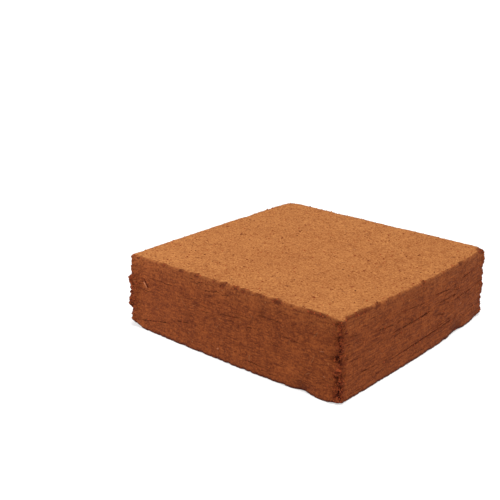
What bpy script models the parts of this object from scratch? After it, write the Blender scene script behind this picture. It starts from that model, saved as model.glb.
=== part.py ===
"""Square bale of compressed coconut coir pith, 300 mm across and 90 mm thick.

One pressed and dried block. Its four walls show the bedding of the pith: thin
cracks that open between the layers, and layers that stand a little proud of
each other towards the corners. The upright corners are crumbly, the arrises
are worn, and the base is the flat face that the bale rests on.

The frame is in metres, +Z up, with the origin at the centre of the base. A
place on a wall is given by the wall's name and the distance along it, which
runs anticlockwise seen from above, so each wall starts where the last ends.
"""

import math
from typing import NamedTuple

import bmesh
import bpy
from mathutils import Vector, noise
from mathutils.geometry import delaunay_2d_cdt

MM = 0.001
NAME = "coir_bale"

# Driving sizes of the pressed block
SIDE = 300 * MM
THICKNESS = 90 * MM
CORNER_RADIUS = 2.2 * MM
TOP_ARRIS = 1.2 * MM
BASE_ARRIS = 1.5 * MM

# The four walls, anticlockwise, and the way that each one faces
WALLS = ("front", "right", "back", "left")
OUT_OF_WALL = {"front": (0, -1), "right": (1, 0), "back": (0, 1), "left": (-1, 0)}

# Springback after pressing: how far each wall bows out, at its foot and at its top, and the share of
# its length at which it is fullest
BOW_AT_FOOT = {"front": 3.4 * MM, "right": 4.1 * MM, "back": 0.8 * MM, "left": 1.6 * MM}
BOW_AT_TOP = {"front": 0.6 * MM, "right": 5.2 * MM, "back": 0.8 * MM, "left": 1.6 * MM}
BOW_FULLEST = {"front": 0.55, "right": 0.62, "back": 0.50, "left": 0.45}
# how much wider than its middle the block is at its foot, on each side, and narrower at its top
FLARE = 1.0 * MM
# and how much the top rises at each corner, named by the wall that starts there
TOP_RISE = {"front": 0.8 * MM, "right": 1.2 * MM, "back": -2.5 * MM, "left": -0.1 * MM}

# Wear of the two ends of the upright corner where each wall starts, as an added arris radius
TOP_WEAR = {"front": 3.5 * MM, "right": 0.0 * MM, "back": 2.0 * MM, "left": 2.5 * MM}
BASE_WEAR = {"front": 10.5 * MM, "right": 2.0 * MM, "back": 5.5 * MM, "left": 4.0 * MM}
WEAR_REACH = 9 * MM

# Roughness: crumbling of the upright corner where each wall starts, chips along the arrises, ledges
CRUMBLE = {"front": 2.4 * MM, "right": 2.4 * MM, "back": 0.9 * MM, "left": 2.2 * MM}
CRUMBLE_LOSS = 0.15
CRUMBLE_GRAIN = 7 * MM
CRUMBLE_REACH = 8 * MM
CHIP = 1.0 * MM
CHIP_GRAIN = 11 * MM
LEDGE = 0.45 * MM
LEDGE_AT_CORNER = 0.9 * MM
LEDGE_REACH = 18 * MM
LEDGE_GRAIN = 30 * MM
SWELL_AT_CORNER = 0.3 * MM
CRUST_EDGE = 2.5 * MM
TOP_UNEVEN = 0.35 * MM
TOP_GRAIN = 42 * MM
FINER_WEIGHT = 0.6
FINER_SCALE = 2.0
FINER_STEPS = 3

# Bedding lines: how they wander, how a crack pulls its line aside, how a crack tapers at its ends
WANDER = 1.1 * MM
WANDER_GRAIN = 60 * MM
PULL_REACH = 22 * MM
CLOSED_GAPE = 0.5 * MM
TAPER = 0.18

# How the flat faces are triangulated: the triangles inside the border alone, points this near made one
INSIDE_ONLY = 1
SAME_POINT = 0.0001 * MM

# Fineness of the mesh
NEAR_CORNER = (0.0, 2.2, 4.6, 7.4, 11.0, 16.5)
STATION_SPACING = 11.6 * MM
ARRIS_STEPS = 3
TOP_POINT_SPACING = 24 * MM
TOP_POINTS_MARGIN = 12 * MM
BASE_PATCH = 240 * MM
LEAST_RISE = 0.25 * MM


class Crack(NamedTuple):
    """One opening between two layers. Lengths are in millimetres."""

    wall: str
    start: float
    end: float
    start_height: float
    end_height: float
    gape: float
    depth: float


class Crust(NamedTuple):
    """A band of crust left standing out at the corner where a wall starts. Lengths are in millimetres."""

    corner: str
    low: float
    high: float
    proud: float
    reach: float


class Dent(NamedTuple):
    """A place where pith has crumbled away, or a swelling where depth is below 0. In millimetres."""

    wall: str
    along: float
    height: float
    radius: float
    depth: float


class Chip(NamedTuple):
    """A stretch where an arris is broken away by a loss at its middle. Lengths are in millimetres."""

    wall: str
    along: float
    reach: float
    loss: float


class Bedding(NamedTuple):
    """One bedding line round the block: its usual height, in millimetres, and the cracks along it."""

    height: float
    cracks: tuple


BEDDINGS = (
    Bedding(
        15,
        (
            Crack("front", 20, 58, 13, 17, 1.1, 5),
            Crack("right", 80, 256, 19, 14, 1.3, 7),
            Crack("back", 34, 118, 15, 18, 1.0, 5),
            Crack("left", 150, 262, 17, 14, 1.2, 6),
        ),
    ),
    Bedding(
        24,
        (
            Crack("right", 31, 60, 24, 22, 0.9, 4),
            Crack("back", 150, 236, 26, 23, 1.1, 6),
            Crack("left", 60, 122, 24, 27, 0.9, 4),
        ),
    ),
    Bedding(
        34,
        (
            Crack("right", 94, 110, 37, 37, 0.9, 3),
            Crack("right", 176, 199, 41, 36, 0.9, 4),
            Crack("back", 70, 136, 34, 37, 1.2, 6),
            Crack("left", 178, 226, 36, 33, 1.0, 5),
        ),
    ),
    Bedding(
        45,
        (
            Crack("front", 104, 130, 47, 48, 0.9, 3),
            Crack("front", 176, 200, 49, 48, 0.9, 3),
            Crack("right", 76, 174, 42, 47, 1.4, 8),
            Crack("right", 214, 286, 46, 48, 1.1, 5),
            Crack("back", 180, 270, 44, 48, 1.3, 7),
            Crack("left", 40, 142, 47, 44, 1.3, 7),
        ),
    ),
    Bedding(
        54,
        (
            Crack("front", 128, 177, 54, 55, 0.9, 3),
            Crack("right", 86, 112, 52, 53, 0.9, 4),
            Crack("right", 225, 243, 54, 54, 1.0, 4),
            Crack("back", 100, 164, 56, 53, 1.0, 5),
            Crack("left", 150, 214, 54, 57, 1.1, 5),
        ),
    ),
    Bedding(
        63,
        (
            Crack("right", 19, 38, 62, 63, 0.9, 3),
            Crack("right", 138, 192, 64, 65, 0.8, 3),
            Crack("back", 26, 84, 62, 65, 0.9, 4),
            Crack("left", 222, 276, 64, 62, 1.0, 4),
        ),
    ),
    Bedding(
        73,
        (
            Crack("front", 84, 98, 70, 70, 0.8, 3),
            Crack("right", 236, 272, 68, 71, 0.9, 4),
            Crack("back", 196, 246, 71, 73, 0.8, 3),
            Crack("left", 84, 130, 72, 70, 0.9, 4),
        ),
    ),
)

CRUSTS = (
    Crust("front", 2, 94, 2.4, 10),
    Crust("front", 7, 70, 0.6, 9),
    Crust("front", 23, 64, 3.0, 9),
    Crust("right", 86.5, 96, 2.8, 7),
    Crust("back", 0, 94, 0.8, 9),
    Crust("back", 69, 84, 1.0, 8),
    Crust("back", 2, 9, 1.2, 8),
    Crust("left", 28, 50, 2.0, 9),
)

DENTS = (
    Dent("front", 295, 48, 4.5, 4.0),
    Dent("front", 297, 69, 3.5, 3.2),
    Dent("front", 298, 84, 3.2, 3.4),
    Dent("right", 2, 30, 3.5, 2.4),
    Dent("front", 202, 69, 4.0, 1.4),
    Dent("right", 294, 22, 6.0, 1.2),
    Dent("back", 296, 61, 5.0, 3.0),
    Dent("left", 293, 16, 4.5, 2.8),
    Dent("front", 256, 1, 9.0, 2.6),
    Dent("front", 282, 2, 14.0, -1.8),
    Dent("right", 231, 1, 14.0, 2.2),
    Dent("right", 286, 0, 13.0, 1.8),
)

TOP_CHIPS = (
    Chip("front", 144, 4, 1.6),
    Chip("front", 160, 6, 2.0),
    Chip("front", 220, 6, 2.8),
    Chip("front", 272, 14, 2.2),
    Chip("right", 33, 15, 2.8),
    Chip("right", 62, 5, 1.4),
    Chip("right", 294, 8, 4.2),
    Chip("back", 128, 12, 1.8),
    Chip("back", 214, 8, 2.4),
    Chip("left", 92, 10, 2.2),
)

BASE_CHIPS = (
    Chip("front", 230, 5, 1.4),
    Chip("front", 256, 8, 1.6),
    Chip("right", 236, 22, 2.4),
    Chip("back", 88, 12, 2.0),
    Chip("left", 206, 14, 2.4),
)


def smooth(share):
    """Rises smoothly from 0 to 1 as share goes from 0 to 1."""
    share = min(max(share, 0.0), 1.0)
    return share * share * (3 - 2 * share)


def stations():
    """Distances along a wall at which the mesh has a column, closer together near the corners."""
    near = [mm * MM for mm in NEAR_CORNER]
    span = SIDE - 2 * near[-1]
    count = round(span / STATION_SPACING)
    middle = [near[-1] + span * i / count for i in range(1, count)]
    return near + middle + [SIDE - mm for mm in reversed(near[1:])]


def square_point(wall, along, inset=0.0):
    """Point (x, y) on the sharp square outline, moved in by inset."""
    half = SIDE / 2 - inset
    run = (along - SIDE / 2) * half / (SIDE / 2)
    return {
        "front": (run, -half),
        "right": (half, run),
        "back": (-run, half),
        "left": (-half, -run),
    }[wall]


def outline_point(wall, along, inset=0.0):
    """Point on the outline with round corners, moved in by inset."""
    x, y = square_point(wall, along, inset)
    core = SIDE / 2 - inset - CORNER_RADIUS
    if abs(x) <= core or abs(y) <= core:
        return x, y
    centre = Vector((math.copysign(core, x), math.copysign(core, y)))
    on_arc = centre + (Vector((x, y)) - centre).normalized() * CORNER_RADIUS
    return on_arc.x, on_arc.y


def outward(wall, along):
    """Unit vector in plan that points out of the wall, turning round the corners."""
    normal = Vector(OUT_OF_WALL[wall])
    before = WALLS[WALLS.index(wall) - 1]
    after = WALLS[(WALLS.index(wall) + 1) % len(WALLS)]
    for neighbour, distance in ((before, along), (after, SIDE - along)):
        if distance < CORNER_RADIUS:
            turn = 0.5 * (1 - distance / CORNER_RADIUS)
            normal = normal * (1 - turn) + Vector(OUT_OF_WALL[neighbour]) * turn
    return normal.normalized()


def round_block(wall, along):
    """Distance round the block from the start of the front wall, going anticlockwise."""
    return WALLS.index(wall) * SIDE + along


def gap_round_block(here, start, end):
    """How far a place is from a stretch of the perimeter, the shorter way round."""
    if start <= here <= end:
        return 0.0
    perimeter = len(WALLS) * SIDE
    return min((start - here) % perimeter, (here - end) % perimeter)


def near_corner(corner, wall, along, reach):
    """1 at the corner where the named wall starts, falling to 0 over a few times the reach."""
    place = round_block(corner, 0.0)
    return math.exp(-((gap_round_block(round_block(wall, along), place, place) / reach) ** 2))


def at_corners(values, wall, along, reach):
    """A value given for each corner, faded to 0 away from the corners."""
    return sum(values[corner] * near_corner(corner, wall, along, reach) for corner in WALLS)


def near_any_corner(wall, along, reach):
    """1 at every corner, falling to 0 along the walls."""
    return at_corners(dict.fromkeys(WALLS, 1.0), wall, along, reach)


def rough(x, y, z, grain, seed):
    """Noise from about -1 to 1, with lumps about one grain across and finer ones on them."""
    place = Vector((x / grain + seed, y / grain, z / grain))
    return noise.fractal(place, FINER_WEIGHT, FINER_SCALE, FINER_STEPS)


def top_rise(x, y):
    """How far the top stands above the nominal thickness, between the rises at the four corners."""
    u, v = 0.5 + x / SIDE, 0.5 + y / SIDE
    near = TOP_RISE["front"] * (1 - u) + TOP_RISE["right"] * u
    far = TOP_RISE["left"] * (1 - u) + TOP_RISE["back"] * u
    return near * (1 - v) + far * v


def crack_height(crack, past_start):
    """Height of a crack's line at a distance past its start, level beyond its two ends."""
    share = min(max(past_start / MM / (crack.end - crack.start), 0.0), 1.0)
    return (crack.start_height + (crack.end_height - crack.start_height) * share) * MM


def bedding_height(bedding, wall, along):
    """Height of the bedding line, pulled to each crack that it opens into."""
    x, y = outline_point(wall, along)
    height = bedding.height * MM + WANDER * rough(x, y, 0, WANDER_GRAIN, bedding.height)
    here = round_block(wall, along)
    for crack in bedding.cracks:
        start, end = round_block(crack.wall, crack.start * MM), round_block(crack.wall, crack.end * MM)
        pull = 1 - smooth(gap_round_block(here, start, end) / PULL_REACH)
        height += pull * (crack_height(crack, here - start) - height)
    return height


def opening(bedding, wall, along):
    """Gape and depth of the bedding line at a place, both small where it is closed."""
    gape, depth = CLOSED_GAPE, 0.0
    for crack in bedding.cracks:
        if crack.wall != wall or not crack.start * MM < along < crack.end * MM:
            continue
        share = (along / MM - crack.start) / (crack.end - crack.start)
        tapered = smooth(share / TAPER) * smooth((1 - share) / TAPER)
        gape = CLOSED_GAPE + (crack.gape * MM - CLOSED_GAPE) * tapered
        depth = crack.depth * MM * tapered
    return gape, depth


def bow(wall, along, height):
    """How far the wall bows out, fullest at its own place and nothing at its two ends."""
    share, fullest = along / SIDE, BOW_FULLEST[wall]
    bend = share / fullest if share < fullest else (1 - share) / (1 - fullest)
    most = BOW_AT_FOOT[wall] + (BOW_AT_TOP[wall] - BOW_AT_FOOT[wall]) * height / THICKNESS
    return most * math.sin(math.pi / 2 * bend)


def crust(wall, along, height):
    """How far the crust at the corners stands out, with a soft step at its lower and upper edge."""
    out = 0.0
    for band in CRUSTS:
        above = smooth((height - band.low * MM) / CRUST_EDGE)
        below = smooth((band.high * MM - height) / CRUST_EDGE)
        out += band.proud * MM * above * below * near_corner(band.corner, wall, along, band.reach * MM)
    return out


def denting(wall, along, height):
    """How far the dents sink the surface."""
    sunk = 0.0
    here = round_block(wall, along)
    for dent in DENTS:
        middle = round_block(dent.wall, dent.along * MM)
        away = math.hypot(gap_round_block(here, middle, middle), height - dent.height * MM)
        sunk += dent.depth * MM * math.exp(-((away / (dent.radius * MM)) ** 2))
    return sunk


def stand_out(wall, along, height, layer):
    """How far the surface stands out of the nominal wall."""
    x, y = outline_point(wall, along)
    shape = bow(wall, along, height) + FLARE * (1 - 2 * height / THICKNESS)
    size = LEDGE + (LEDGE_AT_CORNER - LEDGE) * near_any_corner(wall, along, LEDGE_REACH)
    ledge = size * rough(x, y, 0, LEDGE_GRAIN, 11 * layer)
    crumble = rough(x, y, height, CRUMBLE_GRAIN, 3) - CRUMBLE_LOSS
    crumble *= at_corners(CRUMBLE, wall, along, CRUMBLE_REACH)
    return shape + ledge + crumble + crust(wall, along, height) - denting(wall, along, height)


def chipping(wall, along, chips, seed):
    """Extra arris radius from small chips all along and from the larger chips listed."""
    x, y = outline_point(wall, along)
    lost = CHIP * max(0.0, 2 * rough(x, y, 0, CHIP_GRAIN, seed))
    here = round_block(wall, along)
    for chip in chips:
        middle = round_block(chip.wall, chip.along * MM)
        away = gap_round_block(here, middle, middle) / (chip.reach * MM)
        lost += chip.loss * MM * math.exp(-(away**2))
    return lost


def arris_rows(radius):
    """How far each row of a rounded arris is from the flat face and from the wall, flat face first."""
    turns = [math.pi / 2 * step / ARRIS_STEPS for step in range(ARRIS_STEPS)]
    return [(radius * (1 - math.cos(turn)), radius * (1 - math.sin(turn))) for turn in turns]


def column(wall, along):
    """The points of one upright column, from the base to the top, as a list of vectors.

    A row is a height, an inset from the nominal wall and the number of its layer.
    """
    base_radius = BASE_ARRIS + at_corners(BASE_WEAR, wall, along, WEAR_REACH)
    base_radius += chipping(wall, along, BASE_CHIPS, 5)
    top_radius = TOP_ARRIS + at_corners(TOP_WEAR, wall, along, WEAR_REACH)
    top_radius += chipping(wall, along, TOP_CHIPS, 8)
    base_rows = [(rise, inset, 0) for rise, inset in arris_rows(base_radius)]
    top_rows = [(THICKNESS - drop, inset, len(BEDDINGS)) for drop, inset in reversed(arris_rows(top_radius))]
    swell = SWELL_AT_CORNER * near_any_corner(wall, along, LEDGE_REACH)
    rows = base_rows
    for layer, bedding in enumerate(BEDDINGS):
        middle = bedding_height(bedding, wall, along)
        gape, depth = opening(bedding, wall, along)
        lower_lip, upper_lip = middle - gape / 2, middle + gape / 2
        rows.append(((rows[-1][0] + lower_lip) / 2, -swell, layer))
        rows += [(lower_lip, 0.0, layer), (middle, depth, layer), (upper_lip, 0.0, layer + 1)]
    rows.append(((rows[-1][0] + top_rows[0][0]) / 2, -swell, len(BEDDINGS)))
    return [surface_point(wall, along, *row) for row in rows + top_rows]


def surface_point(wall, along, height, inset, layer):
    """Point of the finished surface at a height and an inset on the nominal block."""
    x, y = outline_point(wall, along, inset)
    normal = outward(wall, along)
    out = stand_out(wall, along, height, layer)
    place = Vector((x + normal.x * out, y + normal.y * out, 0))
    if height > 0:
        stretched = height * (1 + top_rise(x, y) / THICKNESS)
        place.z = max(stretched, LEAST_RISE)
    return place


def inner_points(spacing, reach):
    """A square grid of points in plan, out to reach from the centre on each side."""
    count = round(2 * reach / spacing)
    ticks = [-reach + 2 * reach * i / count for i in range(count + 1)]
    return [Vector((x, y)) for x in ticks for y in ticks]


def cap(bm, ring, extra, height_at, facing_up):
    """Closes a ring of vertices with triangles that also use the extra points in plan."""
    points = [Vector((v.co.x, v.co.y)) for v in ring] + extra
    border = [list(range(len(ring)))]
    found, _, faces, origins, _, _ = delaunay_2d_cdt(points, [], border, INSIDE_ONLY, SAME_POINT)
    made = []
    for point, origin in zip(found, origins):
        ring_index = [i for i in origin if i < len(ring)]
        if ring_index:
            made.append(ring[ring_index[0]])
        else:
            made.append(bm.verts.new((point.x, point.y, height_at(point.x, point.y))))
    for face in faces:
        corners = [made[i] for i in face]
        turn = (corners[1].co - corners[0].co).cross(corners[2].co - corners[0].co).z
        if (turn > 0) != facing_up:
            corners.reverse()
        bm.faces.new(corners)


def top_height(x, y):
    """Height of the pressed top, a little uneven from the springback."""
    uneven = TOP_UNEVEN * rough(x, y, 0, TOP_GRAIN, 17)
    return THICKNESS + top_rise(x, y) + uneven


def centre_on_base(bm):
    """Moves the block so that the middle of its plan is at the origin."""
    xs = [v.co.x for v in bm.verts]
    ys = [v.co.y for v in bm.verts]
    middle = Vector(((min(xs) + max(xs)) / 2, (min(ys) + max(ys)) / 2, 0))
    bmesh.ops.translate(bm, verts=bm.verts, vec=-middle)


def build_bale_mesh():
    """The whole block as one closed mesh."""
    bm = bmesh.new()
    columns = [
        [bm.verts.new(point) for point in column(wall, along)]
        for wall in WALLS
        for along in stations()
    ]
    for this, following in zip(columns, columns[1:] + columns[:1]):
        for low in range(len(this) - 1):
            bm.faces.new((this[low], following[low], following[low + 1], this[low + 1]))
    base_ring = [points[0] for points in columns]
    top_ring = [points[-1] for points in columns]
    top_reach = SIDE / 2 - TOP_POINTS_MARGIN
    cap(bm, top_ring, inner_points(TOP_POINT_SPACING, top_reach), top_height, facing_up=True)
    cap(bm, base_ring, inner_points(BASE_PATCH, BASE_PATCH / 2), lambda x, y: 0.0, facing_up=False)
    centre_on_base(bm)
    mesh = bpy.data.meshes.new(NAME)
    bm.to_mesh(mesh)
    bm.free()
    return mesh


def coir_material():
    """Dry pressed coir pith: matt red-brown."""
    material = bpy.data.materials.new("pressed_coir_pith")
    material.use_nodes = True
    shader = material.node_tree.nodes["Principled BSDF"]
    shader.inputs["Base Color"].default_value = (0.36, 0.115, 0.040, 1.0)
    shader.inputs["Roughness"].default_value = 0.95
    shader.inputs["Metallic"].default_value = 0.0
    return material


def main():
    """Clears the scene and builds the bale."""
    for old in list(bpy.data.objects):
        bpy.data.objects.remove(old, do_unlink=True)
    mesh = build_bale_mesh()
    mesh.materials.append(coir_material())
    bale = bpy.data.objects.new(NAME, mesh)
    bpy.context.scene.collection.objects.link(bale)


main()
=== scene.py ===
"""Pressed coir bale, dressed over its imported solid, on a pale studio floor.

The block is one pressed and dried piece, so its skin is one closed mesh that
follows the same rules as the solid at a finer pitch. Its grains, its crumbs
and its loose fibre ends are scattered over it by Geometry Nodes.
"""

import logging
import math
import random
from dataclasses import dataclass, field
from enum import Enum, IntEnum
from typing import NamedTuple

import bpy
from mathutils import Matrix, Vector, noise


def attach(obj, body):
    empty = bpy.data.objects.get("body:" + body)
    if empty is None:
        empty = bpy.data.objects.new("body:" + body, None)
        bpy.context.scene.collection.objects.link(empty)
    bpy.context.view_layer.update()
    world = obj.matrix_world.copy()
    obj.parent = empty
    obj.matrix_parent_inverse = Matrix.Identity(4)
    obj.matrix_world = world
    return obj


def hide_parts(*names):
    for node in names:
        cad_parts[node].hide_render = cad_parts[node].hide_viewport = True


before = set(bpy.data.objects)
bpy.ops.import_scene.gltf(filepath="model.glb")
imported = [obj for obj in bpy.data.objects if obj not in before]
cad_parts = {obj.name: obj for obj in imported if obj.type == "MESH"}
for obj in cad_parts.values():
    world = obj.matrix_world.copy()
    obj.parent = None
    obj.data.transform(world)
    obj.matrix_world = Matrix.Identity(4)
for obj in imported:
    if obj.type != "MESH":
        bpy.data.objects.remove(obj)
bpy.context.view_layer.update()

MM = 0.001
NODE = "coir_bale"
BODY = "root"
Tree = bpy.types.NodeTree
Socket = bpy.types.NodeSocket
Colour = tuple[float, float, float, float]
log = logging.getLogger(NODE)

# How fast finer lumps fade in the shapes' noise, how much finer each level is, and how many levels.
LUMP_FADE = 0.6
LUMP_STEP = 2.0
LUMP_LEVELS = 3
# The same fade in the materials' noise, and the value that such noise keeps round.
PATCH_FADE = 0.6
PATCH_MIDDLE = 0.5
# How many finer levels the materials' noise has where single grains should tell, and elsewhere.
FINE_DETAIL = 3.0
PLAIN_DETAIL = 2.0
SRGB_KNEE = 0.04045
SRGB_SLOPE = 12.92
SRGB_OFFSET = 0.055
SRGB_POWER = 2.4
WHITE = (1.0, 1.0, 1.0, 1.0)


class Wall(Enum):
    """The four upright walls, anticlockwise seen from above, with the way that each one faces."""

    FRONT = (0, -1)
    RIGHT = (1, 0)
    BACK = (0, 1)
    LEFT = (-1, 0)

    @property
    def number(self) -> int:
        """Place of the wall in the round, from 0."""
        return list(Wall).index(self)

    def step(self, steps: int) -> "Wall":
        """The wall a number of steps further round."""
        return list(Wall)[(self.number + steps) % len(Wall)]


class Mask(Enum):
    """What each point of the skin carries, as a share from 0 to 1, with the attribute's name."""

    # The golden share: the pressed face, and a faint painted light fading down the top of each wall.
    PRESSED = "pressed_face"
    # The share of painted shade: deep in cracks, in pits and chips, in creases between lumps and along the
    # foot.
    HOLLOW = "hollow"
    CRUMBLE = "crumble"
    TOP = "top_zone"
    WALLS = "wall_zone"
    LOOSE = "loose_zone"


class Seed(IntEnum):
    """Where each kind of roughness starts in the noise, so that no two of them rise together."""

    CRUMBLE = 3
    BASE_CHIPS = 5
    TOP_CHIPS = 8
    LEDGE = 11
    TOP_UNEVEN = 17
    TORN = 23
    HAIRLINES = 41
    TOP_FINE = 53
    RELIEF = 71
    DRIFT = 700
    JITTER = 900


class Crack(NamedTuple):
    """One opening between two layers. Lengths are in millimetres."""

    wall: Wall
    start: float
    end: float
    start_height: float
    end_height: float
    gape: float
    depth: float


class Crust(NamedTuple):
    """A band of crust standing out at the corner where a wall starts. Lengths are in millimetres."""

    corner: Wall
    low: float
    high: float
    proud: float
    reach: float


class Dent(NamedTuple):
    """A place where pith has crumbled away, or a swelling where depth is below 0. In millimetres."""

    wall: Wall
    along: float
    height: float
    radius: float
    depth: float


class Chip(NamedTuple):
    """A stretch where an arris is broken away by a loss at its middle. Lengths are in millimetres."""

    wall: Wall
    along: float
    reach: float
    loss: float


class Bedding(NamedTuple):
    """A bedding line round the block: its usual height, in millimetres, and the cracks along it."""

    height: float
    cracks: tuple[Crack, ...]


class Hairline(NamedTuple):
    """A short fine crack between two bedding lines. Lengths are in metres, round the block."""

    start: float
    end: float
    gape: float
    depth: float


class Sliver(NamedTuple):
    """A flat sliver of husk on a wall. Lengths are in millimetres, the turn in degrees, tone to 1."""

    wall: Wall
    along: float
    height: float
    length: float
    width: float
    turn: float
    tone: float


class Row(NamedTuple):
    """One point of an upright line, in metres: its height, inset and layer, then sunk, the share of painted
    shade that it gets deep in a crack, in a chip or at the foot, and how worn or loose it is.
    """

    height: float
    inset: float
    layer: int
    sunk: float = 0.0
    worn: float = 0.0
    loose: float = 0.0


# The bedding lines from the ground up, each with its cracks. A crack of gape 0 only guides its line.
BEDDINGS = (
    Bedding(
        15,
        (
            Crack(Wall.FRONT, 10, 64, 10.5, 21.5, 0.8, 4.5),
            Crack(Wall.RIGHT, 82, 232, 18.5, 23.0, 1.1, 6),
            Crack(Wall.BACK, 34, 118, 15, 18, 0.7, 3.5),
            Crack(Wall.LEFT, 150, 262, 17, 14, 1.0, 6),
        ),
    ),
    Bedding(
        24,
        (
            Crack(Wall.FRONT, 68, 96, 26, 30.5, 0.7, 3),
            Crack(Wall.RIGHT, 31, 60, 24, 22, 0.9, 4),
            Crack(Wall.RIGHT, 140, 236, 26, 29, 0, 0),
            Crack(Wall.BACK, 150, 236, 26, 23, 0.9, 5),
            Crack(Wall.LEFT, 60, 122, 24, 27, 0.6, 3),
        ),
    ),
    Bedding(
        34,
        (
            Crack(Wall.RIGHT, 92, 110, 43, 44.5, 0.8, 3),
            Crack(Wall.RIGHT, 176, 199, 41, 36, 0.9, 4),
            Crack(Wall.BACK, 70, 136, 34, 37, 0.7, 4),
            Crack(Wall.LEFT, 178, 226, 36, 33, 0.7, 4),
        ),
    ),
    Bedding(
        45,
        (
            Crack(Wall.FRONT, 112, 126, 50, 50.5, 0.6, 2.0),
            Crack(Wall.FRONT, 179, 201, 49.5, 53, 0.6, 2.2),
            Crack(Wall.RIGHT, 80, 174, 48, 49.5, 1.2, 7),
            Crack(Wall.RIGHT, 222, 286, 46, 48, 0.9, 4),
            Crack(Wall.BACK, 180, 270, 44, 48, 1.2, 7),
            Crack(Wall.LEFT, 40, 142, 47, 44, 1.2, 7),
        ),
    ),
    Bedding(
        54,
        (
            Crack(Wall.FRONT, 99, 124, 54.5, 57, 0.6, 2.2),
            Crack(Wall.FRONT, 136, 178, 53, 58, 0.7, 2.4),
            Crack(Wall.FRONT, 227, 252, 53, 52, 0.7, 2.4),
            Crack(Wall.RIGHT, 54, 95, 60.5, 57, 0.8, 3),
            Crack(Wall.RIGHT, 179, 230, 54, 52, 0.9, 3.5),
            Crack(Wall.BACK, 100, 164, 56, 53, 0.6, 3),
            Crack(Wall.LEFT, 150, 214, 54, 57, 0.8, 4),
        ),
    ),
    Bedding(
        63,
        (
            Crack(Wall.RIGHT, 14, 32, 68, 66, 0.8, 2.5),
            Crack(Wall.RIGHT, 42, 92, 66, 66.5, 0, 0),
            Crack(Wall.RIGHT, 104, 157, 67.5, 63.5, 0.8, 3),
            Crack(Wall.RIGHT, 171, 215, 67, 63, 0.8, 3),
            Crack(Wall.BACK, 26, 84, 62, 65, 0.6, 3),
            Crack(Wall.LEFT, 222, 276, 64, 62, 0.6, 3),
        ),
    ),
    Bedding(
        73,
        (
            Crack(Wall.FRONT, 113, 131, 69, 70.5, 0.5, 1.6),
            Crack(Wall.FRONT, 143, 156, 71, 72, 0.5, 1.6),
            Crack(Wall.RIGHT, 236, 272, 68, 71, 0.9, 4),
            Crack(Wall.BACK, 196, 246, 71, 73, 0.5, 2),
            Crack(Wall.LEFT, 84, 130, 72, 70, 0.6, 2.5),
        ),
    ),
)

# Crusts of the front-left corner first, then of the near, the right and the back-left one.
CRUSTS = (
    Crust(Wall.FRONT, 2, 94, 2.4, 10),
    Crust(Wall.FRONT, 7, 70, 0.6, 9),
    Crust(Wall.FRONT, 23, 64, 3.0, 9),
    Crust(Wall.RIGHT, 86.5, 96, 2.8, 7),
    Crust(Wall.BACK, 0, 94, 0.8, 9),
    Crust(Wall.BACK, 69, 84, 1.0, 8),
    Crust(Wall.BACK, 2, 9, 1.2, 8),
    Crust(Wall.LEFT, 28, 50, 2.0, 9),
)

# Pits, most of them near the corners, and then the dents and the swelling along the foot. Pits and dents
# get painted shade by their depth.
DENTS = (
    Dent(Wall.FRONT, 295, 48, 4.5, 4.0),
    Dent(Wall.FRONT, 297, 69, 3.5, 3.2),
    Dent(Wall.FRONT, 298, 84, 3.2, 3.4),
    Dent(Wall.RIGHT, 2, 30, 3.5, 2.4),
    Dent(Wall.FRONT, 202, 69, 4.0, 1.4),
    Dent(Wall.RIGHT, 294, 22, 6.0, 1.2),
    Dent(Wall.BACK, 296, 61, 5.0, 3.0),
    Dent(Wall.LEFT, 293, 16, 4.5, 2.8),
    Dent(Wall.FRONT, 256, 1, 9.0, 2.6),
    Dent(Wall.FRONT, 282, 2, 14.0, -1.8),
    Dent(Wall.RIGHT, 231, 1, 14.0, 2.2),
    Dent(Wall.RIGHT, 286, 0, 13.0, 1.8),
)

# The larger chips of the top arris and then of the base arris, wall by wall. Chipped stretches of both
# arrises get painted shade.
TOP_CHIPS = (
    Chip(Wall.FRONT, 104, 3, 1.2),
    Chip(Wall.FRONT, 131, 3, 1.0),
    Chip(Wall.FRONT, 146, 4, 1.6),
    Chip(Wall.FRONT, 163, 4, 1.9),
    Chip(Wall.FRONT, 173, 3, 1.6),
    Chip(Wall.FRONT, 197, 4, 1.5),
    Chip(Wall.FRONT, 220, 6, 2.8),
    Chip(Wall.FRONT, 272, 14, 2.2),
    Chip(Wall.RIGHT, 33, 15, 2.8),
    Chip(Wall.RIGHT, 62, 5, 1.4),
    Chip(Wall.RIGHT, 294, 8, 4.2),
    Chip(Wall.BACK, 128, 12, 1.8),
    Chip(Wall.BACK, 214, 8, 2.4),
    Chip(Wall.LEFT, 92, 10, 2.2),
)

BASE_CHIPS = (
    Chip(Wall.FRONT, 230, 5, 1.4),
    Chip(Wall.FRONT, 256, 8, 1.6),
    Chip(Wall.RIGHT, 236, 22, 2.4),
    Chip(Wall.BACK, 88, 12, 2.0),
    Chip(Wall.LEFT, 206, 14, 2.4),
)

# The first two lie side by side: a pale sliver and a dark one beside it, a painted shadow of the pale one.
SLIVERS = (
    Sliver(Wall.FRONT, 22.6, 57.6, 8.2, 2.2, -51, 0.85),
    Sliver(Wall.FRONT, 24.0, 60.2, 12, 1.5, -50, 0.0),
    Sliver(Wall.FRONT, 140, 13.5, 3.0, 2.0, 20, 0.7),
    Sliver(Wall.FRONT, 282, 26, 2.6, 1.2, -35, 0.6),
    Sliver(Wall.FRONT, 278, 52, 5.5, 0.8, 14, 0.5),
    Sliver(Wall.RIGHT, 238, 36, 5.0, 0.9, 12, 0.6),
    Sliver(Wall.BACK, 62, 48, 9.0, 1.4, 40, 0.7),
    Sliver(Wall.BACK, 214, 28, 4.0, 1.2, -15, 0.5),
    Sliver(Wall.LEFT, 96, 58, 8.0, 1.5, -30, 0.7),
    Sliver(Wall.LEFT, 232, 22, 3.2, 1.5, 65, 0.6),
)


def smooth(share: float) -> float:
    """Rises smoothly from 0 to 1 as share goes from 0 to 1."""
    share = min(max(share, 0.0), 1.0)
    return share * share * (3 - 2 * share)


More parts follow.
